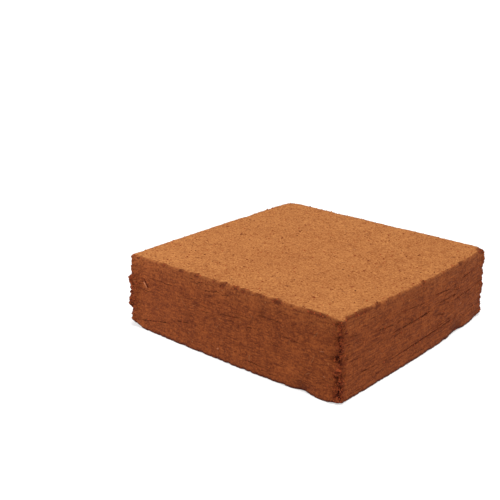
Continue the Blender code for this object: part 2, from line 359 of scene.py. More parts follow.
def rough(x: float, y: float, z: float, grain: float, seed: float) -> float:
    """Noise from about -1 to 1, with lumps about one grain across and finer ones on them."""
    place = Vector((x / grain + seed, y / grain, z / grain))
    return noise.fractal(place, LUMP_FADE, LUMP_STEP, LUMP_LEVELS)


def linear(hex_colour: str) -> Colour:
    """Turns an sRGB hex colour to linear light.

    Args:
        hex_colour: six hex digits, red first.

    Returns:
        The linear colour, opaque.
    """
    parts = [int(hex_colour[i : i + 2], 16) / 255 for i in (0, 2, 4)]
    lit = [
        c / SRGB_SLOPE if c <= SRGB_KNEE else ((c + SRGB_OFFSET) / (1 + SRGB_OFFSET)) ** SRGB_POWER
        for c in parts
    ]
    return (lit[0], lit[1], lit[2], 1.0)


def socket_of(sockets: bpy.types.bpy_prop_collection, key: str | int) -> Socket:
    """Finds a node's socket by its identifier, or else by its name or number."""
    named = [socket for socket in sockets if socket.identifier == key]
    return named[0] if named else sockets[key]


def add_node(
    tree: Tree, kind: str, values: dict | None = None, out: str | int = 0, **settings: object
) -> Socket | None:
    """Adds a node with its settings and links.

    Args:
        tree: the tree that gets the node.
        kind: the node's type.
        values: for each input, a socket to link from or a value to set.
        out: the output that goes on.
        settings: the node's own properties.

    Returns:
        The output socket that goes on, or None for a node without one.
    """
    node = tree.nodes.new(kind)
    for name, setting in settings.items():
        setattr(node, name, setting)
    for key, value in (values or {}).items():
        socket = socket_of(node.inputs, key)
        if isinstance(value, Socket):
            tree.links.new(value, socket)
        else:
            socket.default_value = value
    return socket_of(node.outputs, out) if len(node.outputs) else None


@dataclass(frozen=True)
class Station:
    """One upright line of the block, with what shapes it there. Lengths are in metres.

    The crusts and the dents come with how near and how far they are.
    """

    wall: Wall
    along: float
    round_block: float
    x: float
    y: float
    normal: Vector
    bow_at_foot: float
    bow_at_top: float
    crumbly: float
    ledges: tuple[float, ...]
    crusts: tuple[tuple[float, Crust], ...]
    dents: tuple[tuple[float, Dent], ...]


@dataclass(frozen=True)
class BlockForm:
    """Shape of the pressed block. Lengths are in metres.

    A place on a wall is the wall and the distance along it, which runs
    anticlockwise seen from above, so each wall starts where the last ends.
    """

    # Sides, corners and arrises of the sound block.
    side: float = 300 * MM
    thickness: float = 90 * MM
    corner_radius: float = 2.2 * MM
    top_arris: float = 1.2 * MM
    base_arris: float = 1.5 * MM
    # Bow of each wall, in the order of the walls, and the place along it where it is fullest.
    flare: float = 1.0 * MM
    bow_at_foot: tuple[float, ...] = (3.4 * MM, 4.1 * MM, 0.8 * MM, 1.6 * MM)
    bow_at_top: tuple[float, ...] = (0.6 * MM, 5.2 * MM, 0.8 * MM, 1.6 * MM)
    bow_fullest: tuple[float, ...] = (0.55, 0.62, 0.50, 0.45)
    # Rise of the top, wear of the arrises and crumble at each corner, named by the wall that starts there.
    top_rise: tuple[float, ...] = (0.8 * MM, 1.2 * MM, -2.5 * MM, -0.1 * MM)
    top_wear: tuple[float, ...] = (3.5 * MM, 0.0, 2.0 * MM, 2.5 * MM)
    base_wear: tuple[float, ...] = (10.5 * MM, 2.0 * MM, 5.5 * MM, 4.0 * MM)
    wear_reach: float = 9 * MM
    crumble: tuple[float, ...] = (2.4 * MM, 2.4 * MM, 0.9 * MM, 2.2 * MM)
    crumble_loss: float = 0.15
    crumble_grain: float = 7 * MM
    crumble_reach: float = 8 * MM
    # Small chips all along the arrises, and how many radii off a dent still tells.
    chip: float = 1.0 * MM
    chip_swing: float = 2.0
    chip_grain: float = 11 * MM
    dent_reach: float = 3.0
    # Layers that stand out of each other, and the edges of the crusts.
    ledge: float = 0.45 * MM
    ledge_at_corner: float = 0.9 * MM
    ledge_reach: float = 18 * MM
    ledge_grain: float = 30 * MM
    crust_edge: float = 2.5 * MM
    # Unevenness of the top, wander of the bedding lines and the tapered ends of their cracks.
    top_uneven: float = 0.35 * MM
    top_grain: float = 42 * MM
    wander: float = 1.1 * MM
    wander_grain: float = 60 * MM
    pull_reach: float = 22 * MM
    taper: float = 0.18
    least_rise: float = 0.25 * MM

    def plan(self, wall: Wall, along: float, inset: float) -> tuple[float, float]:
        """Point in plan on the outline with round corners, moved in by the inset.

        Args:
            wall: the wall.
            along: the distance from the wall's start.
            inset: how far in the point is moved.

        Returns:
            The point's x and y.
        """
        half = self.side / 2 - inset
        run = (along - self.side / 2) * half / (self.side / 2)
        x, y = {
            Wall.FRONT: (run, -half),
            Wall.RIGHT: (half, run),
            Wall.BACK: (-run, half),
            Wall.LEFT: (-half, -run),
        }[wall]
        core = half - self.corner_radius
        if abs(x) <= core or abs(y) <= core:
            return x, y
        centre = Vector((math.copysign(core, x), math.copysign(core, y)))
        on_arc = centre + (Vector((x, y)) - centre).normalized() * self.corner_radius
        return on_arc.x, on_arc.y

    def outward(self, wall: Wall, along: float) -> Vector:
        """Unit vector in plan that points out of the wall, turning round the corners.

        Args:
            wall: the wall.
            along: the distance from the wall's start.

        Returns:
            The vector.
        """
        normal = Vector(wall.value)
        for neighbour, distance in ((wall.step(-1), along), (wall.step(1), self.side - along)):
            if distance < self.corner_radius:
                turn = 0.5 * (1 - distance / self.corner_radius)
                normal = normal * (1 - turn) + Vector(neighbour.value) * turn
        return normal.normalized()

    def gap(self, here: float, start: float, end: float) -> float:
        """How far a place is from a stretch of the perimeter, the shorter way round.

        Args:
            here: the distance round the block from the first corner.
            start: where the stretch starts.
            end: where it ends.

        Returns:
            The distance, 0 on the stretch.
        """
        if start <= here <= end:
            return 0.0
        perimeter = len(Wall) * self.side
        return min((start - here) % perimeter, (here - end) % perimeter)

    def near_corner(self, corner: Wall, here: float, reach: float) -> float:
        """1 at the corner where a wall starts, falling to 0 over a few times the reach."""
        place = corner.number * self.side
        return math.exp(-((self.gap(here, place, place) / reach) ** 2))

    def at_corners(self, values: tuple[float, ...], here: float, reach: float) -> float:
        """A value given for each corner, faded to 0 away from the corners."""
        return sum(value * self.near_corner(corner, here, reach) for corner, value in zip(Wall, values))

    def near_any_corner(self, here: float, reach: float) -> float:
        """1 at every corner, falling to 0 along the walls."""
        return self.at_corners((1.0,) * len(Wall), here, reach)

    def bow_share(self, wall: Wall, along: float) -> float:
        """Share of the wall's bow, 1 where it is fullest and 0 at its two ends.

        Args:
            wall: the wall.
            along: the distance from the wall's start.

        Returns:
            The share.
        """
        share, fullest = along / self.side, self.bow_fullest[wall.number]
        bend = share / fullest if share < fullest else (1 - share) / (1 - fullest)
        return math.sin(math.pi / 2 * bend)

    def station(self, wall: Wall, along: float) -> Station:
        """Works out what shapes one upright line.

        Args:
            wall: the wall that it is on.
            along: its distance from the wall's start.

        Returns:
            The upright line.
        """
        here = wall.number * self.side + along
        x, y = self.plan(wall, along, 0.0)
        more = (self.ledge_at_corner - self.ledge) * self.near_any_corner(here, self.ledge_reach)
        layers = range(len(BEDDINGS) + 1)
        bow = self.bow_share(wall, along)
        dents = []
        for dent in DENTS:
            middle = dent.wall.number * self.side + dent.along * MM
            away = self.gap(here, middle, middle)
            if away < self.dent_reach * dent.radius * MM:
                dents.append((away, dent))
        return Station(
            wall=wall,
            along=along,
            round_block=here,
            x=x,
            y=y,
            normal=self.outward(wall, along),
            bow_at_foot=self.bow_at_foot[wall.number] * bow,
            bow_at_top=self.bow_at_top[wall.number] * bow,
            crumbly=self.at_corners(self.crumble, here, self.crumble_reach),
            ledges=tuple(
                (self.ledge + more) * rough(x, y, 0, self.ledge_grain, Seed.LEDGE * n) for n in layers
            ),
            crusts=tuple((self.near_corner(band.corner, here, band.reach * MM), band) for band in CRUSTS),
            dents=tuple(dents),
        )

    def rise_at(self, x: float, y: float) -> float:
        """How far the top stands above the usual thickness at a point in plan.

        Args:
            x: the point's x.
            y: the point's y.

        Returns:
            The rise, blended between the four corners.
        """
        u, v = 0.5 + x / self.side, 0.5 + y / self.side
        near = self.top_rise[0] * (1 - u) + self.top_rise[1] * u
        far = self.top_rise[3] * (1 - u) + self.top_rise[2] * u
        return near * (1 - v) + far * v

    def bedding_height(self, bedding: Bedding, at: Station) -> float:
        """Height of the bedding line, pulled to each crack that it opens into.

        Args:
            bedding: the bedding line.
            at: the upright line.

        Returns:
            The height.
        """
        wander = self.wander * rough(at.x, at.y, 0, self.wander_grain, bedding.height)
        height = bedding.height * MM + wander
        for crack in bedding.cracks:
            start = crack.wall.number * self.side + crack.start * MM
            end = crack.wall.number * self.side + crack.end * MM
            share = min(max((at.round_block - start) / (end - start), 0.0), 1.0)
            level = (crack.start_height + (crack.end_height - crack.start_height) * share) * MM
            pull = 1 - smooth(self.gap(at.round_block, start, end) / self.pull_reach)
            height += pull * (level - height)
        return height

    def opening(self, bedding: Bedding, at: Station) -> tuple[float, float]:
        """Gape and depth of the bedding line at a place, both 0 where it is closed.

        Args:
            bedding: the bedding line.
            at: the upright line.

        Returns:
            The gape and the depth.
        """
        for crack in bedding.cracks:
            if crack.wall == at.wall and crack.start * MM < at.along < crack.end * MM:
                share = (at.along / MM - crack.start) / (crack.end - crack.start)
                tapered = smooth(share / self.taper) * smooth((1 - share) / self.taper)
                return crack.gape * MM * tapered, crack.depth * MM * tapered
        return 0.0, 0.0

    def crust_out(self, at: Station, height: float) -> float:
        """How far the crust at the corners stands out.

        Args:
            at: the upright line.
            height: the height on it.

        Returns:
            The distance.
        """
        out = 0.0
        for near, band in at.crusts:
            above = smooth((height - band.low * MM) / self.crust_edge)
            below = smooth((band.high * MM - height) / self.crust_edge)
            out += band.proud * MM * above * below * near
        return out

    def denting(self, at: Station, height: float) -> float:
        """How far the dents sink the surface.

        Args:
            at: the upright line.
            height: the height on it.

        Returns:
            The distance, below 0 on a swelling.
        """
        sunk = 0.0
        for away, dent in at.dents:
            far = math.hypot(away, height - dent.height * MM) / (dent.radius * MM)
            sunk += dent.depth * MM * math.exp(-(far**2))
        return sunk

    def stand_out(self, at: Station, height: float, layer: int) -> float:
        """How far the surface stands out of the plain wall.

        Args:
            at: the upright line.
            height: the height on it.
            layer: number of the layer there.

        Returns:
            The distance.
        """
        share = height / self.thickness
        bow = at.bow_at_foot + (at.bow_at_top - at.bow_at_foot) * share
        shape = bow + self.flare * (1 - 2 * share)
        crumble = rough(at.x, at.y, height, self.crumble_grain, Seed.CRUMBLE) - self.crumble_loss
        crumble *= at.crumbly
        crust = self.crust_out(at, height)
        return shape + at.ledges[layer] + crumble + crust - self.denting(at, height)

    def chipping(self, at: Station, chips: tuple[Chip, ...], seed: float) -> float:
        """Extra arris radius from small chips all along and from the larger chips listed.

        Args:
            at: the upright line.
            chips: the larger chips.
            seed: which arris it is.

        Returns:
            The extra radius.
        """
        lost = self.chip * max(0.0, self.chip_swing * rough(at.x, at.y, 0, self.chip_grain, seed))
        for chip in chips:
            middle = chip.wall.number * self.side + chip.along * MM
            away = self.gap(at.round_block, middle, middle) / (chip.reach * MM)
            lost += chip.loss * MM * math.exp(-(away**2))
        return lost


@dataclass
class Skin:
    """A mesh being gathered: points with their masks, and faces. The crease is in degrees."""

    crease: float = 55.0
    places: list[Vector] = field(default_factory=list)
    faces: list[tuple[int, ...]] = field(default_factory=list)
    shares: dict[Mask, list[float]] = field(default_factory=lambda: {mask: [] for mask in Mask})

    def add(self, place: Vector, shares: dict[Mask, float]) -> int:
        """Adds a point and gives its number.

        Args:
            place: where it is.
            shares: its masks, 0 where one is left out.

        Returns:
            The point's number.
        """
        self.places.append(place)
        for mask in Mask:
            self.shares[mask].append(min(max(shares.get(mask, 0.0), 0.0), 1.0))
        return len(self.places) - 1

    def middle(self) -> Vector:
        """Middle of the gathered points in plan, on the ground.

        Returns:
            The middle.
        """
        xs = [place.x for place in self.places]
        ys = [place.y for place in self.places]
        return Vector(((min(xs) + max(xs)) / 2, (min(ys) + max(ys)) / 2, 0))

    def piece(self, name: str, shift: Vector) -> bpy.types.Object:
        """Makes the piece, smooth with its steep creases sharp, and its masks as attributes.

        Args:
            name: its name.
            shift: what every point is moved by.

        Returns:
            The piece, in the scene.
        """
        mesh = bpy.data.meshes.new(name)
        mesh.from_pydata([place + shift for place in self.places], [], self.faces)
        for mask, shares in self.shares.items():
            attribute = mesh.attributes.new(mask.value, "FLOAT", "POINT")
            attribute.data.foreach_set("value", shares)
        mesh.shade_smooth()
        mesh.set_sharp_from_angle(angle=math.radians(self.crease))
        mesh.update()
        piece = bpy.data.objects.new(name, mesh)
        bpy.context.scene.collection.objects.link(piece)
        return piece


@dataclass
class PressedBlock:
    """The pressed and dried block as one closed skin. Lengths are in metres."""

    # Upright lines: the finer ones near the corners, the others, and the rows round an arris.
    form: BlockForm = field(default_factory=BlockForm)
    fine_stretch: float = 16.5 * MM
    fine_steps: int = 11
    fine_growth: float = 1.2
    spacing: float = 2.1 * MM
    arris_steps: int = 5
    # Parting lines inside each layer, by the share of its height, and the hairlines that open along them.
    parting_shares: tuple[tuple[float, ...], ...] = ((0.36, 0.70),) + ((0.5,),) * 6 + ((0.32, 0.66),)
    hairline_length: tuple[float, float] = (12 * MM, 52 * MM)
    hairline_gap: tuple[float, float] = (25 * MM, 130 * MM)
    hairline_gape: tuple[float, float] = (0.35 * MM, 0.70 * MM)
    hairline_depth: tuple[float, float] = (0.6 * MM, 2.1 * MM)
    # Cracks: how torn their lips are, how far the lips fall back, how much painted shade their lips get,
    # the crack depth at full painted shade, and what is loose beside them.
    shoulder: float = 0.8 * MM
    least_gape: float = 0.12 * MM
    least_step: float = 0.03 * MM
    least_room: int = 10
    ragged_grain: float = 8 * MM
    torn: float = 0.85
    torn_swing: float = 0.6
    torn_deeper: float = 0.2
    deepest: float = 1.1
    lip_inset: float = 0.3
    lip_shade: float = 0.45
    lip_loose: float = 0.3
    full_shade_depth: float = 6.5 * MM
    # How far the lines stray from level, over short and over long stretches.
    jitter: float = 0.45 * MM
    jitter_grain: float = 9 * MM
    drift: float = 2.6 * MM
    drift_grain: float = 80 * MM
    stray_share: float = 0.35
    # Fine chips along the arrises, on top of the form's own, and the painted shade in the deepest ones.
    fine_chip: float = 0.9 * MM
    fine_chip_grain: float = 4.2 * MM
    fine_chip_swing: float = 2.2
    fine_chip_sound: float = 0.25
    full_chip: float = 1.6 * MM
    chip_shade: float = 0.75
    neck_worn: float = 0.3
    # Relief of the walls, and the lumps at each corner with the creases between them, which get painted
    # shade, as do the lumps that sit back.
    relief: float = 0.28 * MM
    relief_length: float = 8 * MM
    relief_height: float = 3.2 * MM
    lumpiness: tuple[float, ...] = (0.75, 1.0, 0.4, 0.8)
    least_lumpy: float = 0.02
    lump_band: tuple[float, float] = (17 * MM, 68 * MM)
    lump_band_edge: float = 4 * MM
    lump_outside: float = 0.3
    lump_reach: float = 5.0 * MM
    lump_grain: float = 3.3 * MM
    lump_rise: float = 1.5 * MM
    lump_shuffle: float = 7.31
    lump_level: float = 0.55
    low_lump_shade: float = 1.1
    crease: float = 1.4 * MM
    crease_width: float = 0.34
    crease_shade: float = 0.75
    # Golden skin that wraps over the top arris, and below it a painted light: a faint golden tint fading
    # down the wall, where the wall is better lit from above.
    wrap_drop: tuple[float, float] = (3.2 * MM, 4.0 * MM)
    wrap_share: float = 0.42
    painted_light_share: float = 0.11
    painted_light_reach: float = 26 * MM
    wrap_reach: float = 6 * MM
    # The pressed top.
    top_relief: float = 0.16 * MM
    top_relief_grain: float = 5 * MM
    flat_edge: float = 12 * MM
    edge_clear: float = 1.5 * MM
    edge_fade: float = 3.5 * MM
    edge_loose: float = 0.07
    # What the masks say of dents, creases, the foot, and what crumbles or lies loose. Dents and creases get
    # painted shade, and the foot gets the painted shadow where the block meets the floor.
    dent_full_shade: float = 3.2 * MM
    foot_shade: float = 0.95
    bare_foot: float = 1.6 * MM
    lump_shade_weight: float = 0.9
    ring_shade: float = 0.3
    crumble_spread: float = 1.3
    worn_crumble: float = 0.2
    crack_loose: float = 0.4
    worn_loose: float = 0.08
    # Worked out while the block is built.
    shift: Vector = field(default_factory=Vector)
    hairlines: list[list[Hairline]] = field(default_factory=list)

    def stations(self) -> list[float]:
        """Distances along a wall that get an upright line, closer together near the corners.

        Returns:
            The distances.
        """
        steps = range(self.fine_steps + 1)
        fine = [self.fine_stretch * (n / self.fine_steps) ** self.fine_growth for n in steps]
        span = self.form.side - 2 * self.fine_stretch
        count = round(span / self.spacing)
        middle = [self.fine_stretch + span * n / count for n in range(1, count)]
        return fine + middle + [self.form.side - distance for distance in reversed(fine)]

    def draw_hairlines(self) -> None:
        """Places the hairlines of every parting line round the block, from the seed."""
        draw = random.Random(int(Seed.HAIRLINES))
        perimeter = len(Wall) * self.form.side
        for _ in range(sum(len(shares) for shares in self.parting_shares)):
            found = []
            here = draw.uniform(0, self.hairline_gap[1])
            while here < perimeter - self.hairline_length[1]:
                length = draw.uniform(*self.hairline_length)
                strength = draw.random() ** 2
                low, high = self.hairline_gape
                gape = low + (high - low) * strength
                low, high = self.hairline_depth
                depth = low + (high - low) * strength
                found.append(Hairline(here, here + length, gape, depth))
                here += length + draw.uniform(*self.hairline_gap)
            self.hairlines.append(found)

    def hairline_at(self, number: int, here: float) -> tuple[float, float]:
        """Gape and depth of a parting line at a place, both 0 where it is closed.

        Args:
            number: the parting line's number.
            here: the distance round the block from the first corner.

        Returns:
            The gape and the depth.
        """
        for hairline in self.hairlines[number]:
            if hairline.start < here < hairline.end:
                share = (here - hairline.start) / (hairline.end - hairline.start)
                tapered = smooth(share / self.form.taper) * smooth((1 - share) / self.form.taper)
                return hairline.gape * tapered, hairline.depth * tapered
        return 0.0, 0.0

    def arris(self, radius: float) -> list[tuple[float, float]]:
        """How far each row of an arris is from the flat face and from the wall, flat face first."""
        turns = [math.pi / 2 * step / self.arris_steps for step in range(self.arris_steps)]
        return [(radius * (1 - math.cos(turn)), radius * (1 - math.sin(turn))) for turn in turns]

    def arris_radius(
        self, at: Station, least: float, wear: tuple[float, ...], chips: tuple[Chip, ...], seed: int
    ) -> tuple[float, float]:
        """Radius of an arris at a place, and how chipped it is there.

        Args:
            at: the place.
            least: the radius of the sound arris.
            wear: what each corner adds.
            chips: the larger chips along it.
            seed: which arris it is.

        Returns:
            The radius, and the chipped share from 0 to 1.
        """
        notch = self.fine_chip_swing * rough(at.x, at.y, 0, self.fine_chip_grain, seed + 0.5)
        notch -= self.fine_chip_sound
        chipped = self.form.chipping(at, chips, seed) + self.fine_chip * max(0.0, notch)
        chipped *= 1 - self.form.near_corner(Wall.RIGHT, at.round_block, self.wrap_reach)
        worn = self.form.at_corners(wear, at.round_block, self.form.wear_reach)
        return least + worn + chipped, smooth(chipped / self.full_chip)

    def line_rows(
        self, at: Station, height: float, opening: tuple[float, float], layers: tuple[int, int], room: float
    ) -> list[Row]:
        """Rows of one bedding or parting line, from the shoulder below it to the one above.

        Args:
            at: the upright line.
            height: the middle of the line.
            opening: how wide and how deep it is.
            layers: the layers below and above it.
            room: how far the rows may spread to each side.

        Returns:
            The five rows.
        """
        torn = self.torn + self.torn_swing * rough(at.x, at.y, height, self.ragged_grain, Seed.TORN)
        half = min(max(opening[0] * torn, self.least_gape), room) / 2
        depth = opening[1] * min(max(torn + self.torn_deeper, 0.0), self.deepest)
        # Painted shade on the crack's floor and lips, by its depth.
        sunk = min(depth / self.full_shade_depth, 1.0)
        shoulder = half + min(self.shoulder, room / 2)
        inset = self.lip_inset * half * sunk
        lip_shade, lip_loose = self.lip_shade * sunk, self.lip_loose * sunk
        low, high = layers
        return [
            Row(height - shoulder, 0.0, low, loose=lip_loose),
            Row(height - half, inset, low, lip_shade, loose=sunk),
            Row(height, depth, low, sunk),
            Row(height + half, inset, high, lip_shade, loose=sunk),
            Row(height + shoulder, 0.0, high, loose=lip_loose),
        ]

    def rows(self, at: Station) -> list[Row]:
        """All rows of one upright line, from the base to the top.

        Args:
            at: the upright line.

        Returns:
            The rows, as many for every line.
        """
        form, top_layer = self.form, len(BEDDINGS)
        base_radius, base_chipped = self.arris_radius(
            at, form.base_arris, form.base_wear, BASE_CHIPS, Seed.BASE_CHIPS
        )
        top_radius, top_chipped = self.arris_radius(
            at, form.top_arris, form.top_wear, TOP_CHIPS, Seed.TOP_CHIPS
        )
        # The base arris gets painted shade, for the shadow where the block meets the floor, more where it
        # is chipped.
        foot_shade = self.foot_shade * (1 + base_chipped)
        rows = [Row(rise, inset, 0, foot_shade, 1.0) for rise, inset in self.arris(base_radius)]
        # The chipped stretches of the top arris get painted shade.
        top_rows = [
            Row(form.thickness - drop, inset, top_layer, self.chip_shade * top_chipped**2, 1.0, top_chipped)
            for drop, inset in reversed(self.arris(top_radius))
        ]
        beddings = [form.bedding_height(bedding, at) for bedding in BEDDINGS]
        edges = [base_radius, *beddings, form.thickness - top_radius]
        number = 0
        for layer, (low, high) in enumerate(zip(edges, edges[1:])):
            lines = []
            shares = self.parting_shares[layer]
            room = max((high - low) / (len(shares) + 1), self.least_room * self.least_step)
            for share in shares:
                opening = self.hairline_at(number, at.round_block)
                lines.append((low + share * (high - low), opening, (layer, layer)))
                number += 1
            if layer < top_layer:
                lines.append((high, form.opening(BEDDINGS[layer], at), (layer, layer + 1)))
            for height, opening, layers in lines:
                seed = Seed.JITTER * height + layer
                wobble = self.jitter * rough(at.x, at.y, 0, self.jitter_grain, seed)
                if layers[0] == layers[1]:
                    seed = Seed.DRIFT * height + layer
                    wobble += self.drift * rough(at.x, at.y, 0, self.drift_grain, seed)
                height += min(max(wobble, -self.stray_share * room), self.stray_share * room)
                rows.append(Row((rows[-1].height + height) / 2, 0.0, layer))
                rows += self.line_rows(at, height, opening, layers, room / 2)
        rows.append(Row((rows[-1].height + top_rows[0].height) / 2, 0.0, top_layer, worn=self.neck_worn))
        return self.in_order(rows + top_rows)

    def in_order(self, rows: list[Row]) -> list[Row]:
        """Keeps every row a little above the one below it and none above the top.

        Args:
            rows: the rows of one upright line.

        Returns:
            The same rows with their heights mended.
        """
        kept = [rows[0]]
        for row in rows[1:]:
            kept.append(row._replace(height=max(row.height, kept[-1].height + self.least_step)))
        top = self.form.thickness
        for n in range(len(kept) - 1, 0, -1):
            kept[n] = kept[n]._replace(height=min(kept[n].height, top))
            top = kept[n].height - self.least_step
        return kept

    def lumpy_at(self, at: Station, height: float, reach: float) -> float:
        """How lumpy a corner is at a place; the first corner is so only where its crust stands out.

        Args:
            at: the upright line.
            height: the height on it.
            reach: how far the lumps go from a corner.

        Returns:
            The share, from 0 to 1.
        """
        low, high = self.lump_band
        edge = self.lump_band_edge
        inside = smooth((height - low) / edge) * smooth((high - height) / edge)
        share = self.lump_outside + (1 - self.lump_outside) * inside
        values = (self.lumpiness[0] * share, *self.lumpiness[1:])
        return self.form.at_corners(values, at.round_block, reach)

    def relief_at(self, at: Station, height: float) -> tuple[float, float]:
        """Fine relief of a wall.

        Args:
            at: the upright line.
            height: the height on it.

        Returns:
            How far it stands out, in metres, and its share of painted shade, in a crease between lumps or
            on a lump that sits back, from 0 to 1.
        """
        stretched = height * self.relief_length / self.relief_height
        out = self.relief * rough(at.x, at.y, stretched, self.relief_length, Seed.RELIEF)
        lumpy = self.lumpy_at(at, height, self.lump_reach)
        if lumpy < self.least_lumpy:
            return out, 0.0
        grain = self.lump_grain
        distances, points = noise.voronoi(Vector((at.x / grain, at.y / grain, height / grain)))
        crease = 1 - smooth((distances[1] - distances[0]) / self.crease_width)
        own = noise.cell(points[0] * self.lump_shuffle) - self.lump_level
        out += lumpy * (self.lump_rise * own - self.crease * crease)
        # Creases and lumps that sit back are painted darker.
        return out, lumpy * (self.crease_shade * crease + max(0.0, -self.low_lump_shade * own))

    def skin_point(self, at: Station, row: Row) -> tuple[Vector, dict[Mask, float]]:
        """Place and masks of one point of the walls.

        Args:
            at: the upright line.
            row: the row on it.

        Returns:
            The place before the block is centred, and the masks that aren't 0.
        """
        form = self.form
        x, y = form.plan(at.wall, at.along, row.inset)
        relief, lump_shade = self.relief_at(at, row.height)
        out = form.stand_out(at, row.height, row.layer) + relief
        place = Vector((x + at.normal.x * out, y + at.normal.y * out, 0))
        if row.height > 0:
            place.z = max(row.height * (1 + form.rise_at(x, y) / form.thickness), form.least_rise)
        on_ring = row.height <= 0 or row.height > form.thickness - self.least_step / 2
        lumpy = self.lumpy_at(at, row.height, self.crumble_spread * self.lump_reach)
        dented = form.denting(at, row.height) / self.dent_full_shade
        grows = 1.0 if row.height > self.bare_foot else 0.0
        golden_share = self.golden_and_lit_at(at, row.height)
        bare = 1 - golden_share
        # Painted shade: deep in cracks, chips and at the foot, in creases and on lumps that sit back, and
        # in pits by their depth.
        hollow = max(row.sunk, self.lump_shade_weight * lump_shade, dented)
        loose = max(lumpy, self.crack_loose * row.loose, self.worn_loose * row.worn)
        shares = {
            Mask.PRESSED: 1.0 if on_ring else golden_share,
            Mask.HOLLOW: hollow * (self.ring_shade if on_ring else bare),
            Mask.CRUMBLE: max(lumpy, self.worn_crumble * row.worn) * bare,
            Mask.WALLS: grows * (1 - row.sunk) * (1 - row.worn),
            Mask.LOOSE: grows * loose * bare,
        }
        return place, shares

    def golden_and_lit_at(self, at: Station, height: float) -> float:
        """Share of golden colour below the top: skin that wraps over the arris, and a painted light fading
        down the wall.

        Args:
            at: the upright line.
            height: the height on it.

        Returns:
            The share.
        """
        near = self.form.near_corner(Wall.RIGHT, at.round_block, self.wrap_reach)
        low, high = self.wrap_drop
        reach = low + (high - low) * near
        drop = self.form.thickness - height
        golden_share = (self.wrap_share + (1 - self.wrap_share) * near) * (1 - smooth(drop / reach))
        # The long faint tail is painted light, for the upper wall lit more from above.
        return max(golden_share, self.painted_light_share * (1 - smooth(drop / self.painted_light_reach)))

    def close_top(self, skin: Skin, ring: list[int]) -> None:
        """Closes the top with a grid between its four edges.

        Args:
            skin: the mesh being gathered.
            ring: numbers of the points round the top, one wall after another.
        """
        spots = self.stations()
        count = len(spots) - 1
        ring = ring + ring[:1]
        front, right, back, left = (ring[n * count : (n + 1) * count + 1] for n in range(len(Wall)))
        back, left = back[::-1], left[::-1]
        places = skin.places
        corners = [places[number].copy() for number in (front[0], front[-1], back[0], back[-1])]
        grid = [front]
        for j in range(1, count):
            v = spots[j] / self.form.side
            line = [left[j]]
            for i in range(1, count):
                u = spots[i] / self.form.side
                place = places[front[i]] * (1 - v) + places[back[i]] * v
                place += places[left[j]] * (1 - u) + places[right[j]] * u
                place -= (corners[0] * (1 - u) + corners[1] * u) * (1 - v)
                place -= (corners[2] * (1 - u) + corners[3] * u) * v
                line.append(skin.add(*self.top_point(place)))
            line.append(right[j])
            grid.append(line)
        grid.append(back)
        for low, high in zip(grid, grid[1:]):
            for i in range(count):
                skin.faces.append((low[i], low[i + 1], high[i + 1], high[i]))

    def top_point(self, place: Vector) -> tuple[Vector, dict[Mask, float]]:
        """Lifts a point of the pressed top to its height and gives it with its masks.

        Args:
            place: the point in plan.

        Returns:
            The lifted point, and its masks that aren't 0.
        """
        form = self.form
        edge = form.side / 2 - max(abs(place.x), abs(place.y))
        uneven = form.top_uneven * rough(place.x, place.y, 0, form.top_grain, Seed.TOP_UNEVEN)
        fine = self.top_relief * rough(place.x, place.y, 0, self.top_relief_grain, Seed.TOP_FINE)
        rise = form.rise_at(place.x, place.y) + uneven * smooth(edge / self.flat_edge) + fine
        near_edge = 1 - smooth((edge - self.edge_clear) / self.edge_fade)
        shares = {Mask.PRESSED: 1.0, Mask.TOP: 1.0, Mask.LOOSE: self.edge_loose * near_edge}
        return Vector((place.x, place.y, form.thickness + rise)), shares

    def close_base(self, skin: Skin, ring: list[int]) -> None:
        """Closes the flat base with a fan.

        Args:
            skin: the mesh being gathered.
            ring: numbers of the points round the base.
        """
        middle = skin.add(Vector(), {Mask.PRESSED: 1.0})
        for this, following in zip(ring, ring[1:] + ring[:1]):
            skin.faces.append((middle, following, this))

    def build(self) -> bpy.types.Object:
        """Builds the block with its middle at the origin and its base on the ground.

        Returns:
            The block, undressed.
        """
        self.draw_hairlines()
        skin = Skin()
        rings = []
        for wall in Wall:
            for along in self.stations()[:-1]:
                at = self.form.station(wall, along)
                rings.append([skin.add(*self.skin_point(at, row)) for row in self.rows(at)])
        for this, following in zip(rings, rings[1:] + rings[:1]):
            for low in range(len(this) - 1):
                skin.faces.append((this[low], following[low], following[low + 1], this[low + 1]))
        self.close_top(skin, [ring[-1] for ring in rings])
        self.close_base(skin, [ring[0] for ring in rings])
        self.shift = -skin.middle()
        return skin.piece("pressed_block", self.shift)


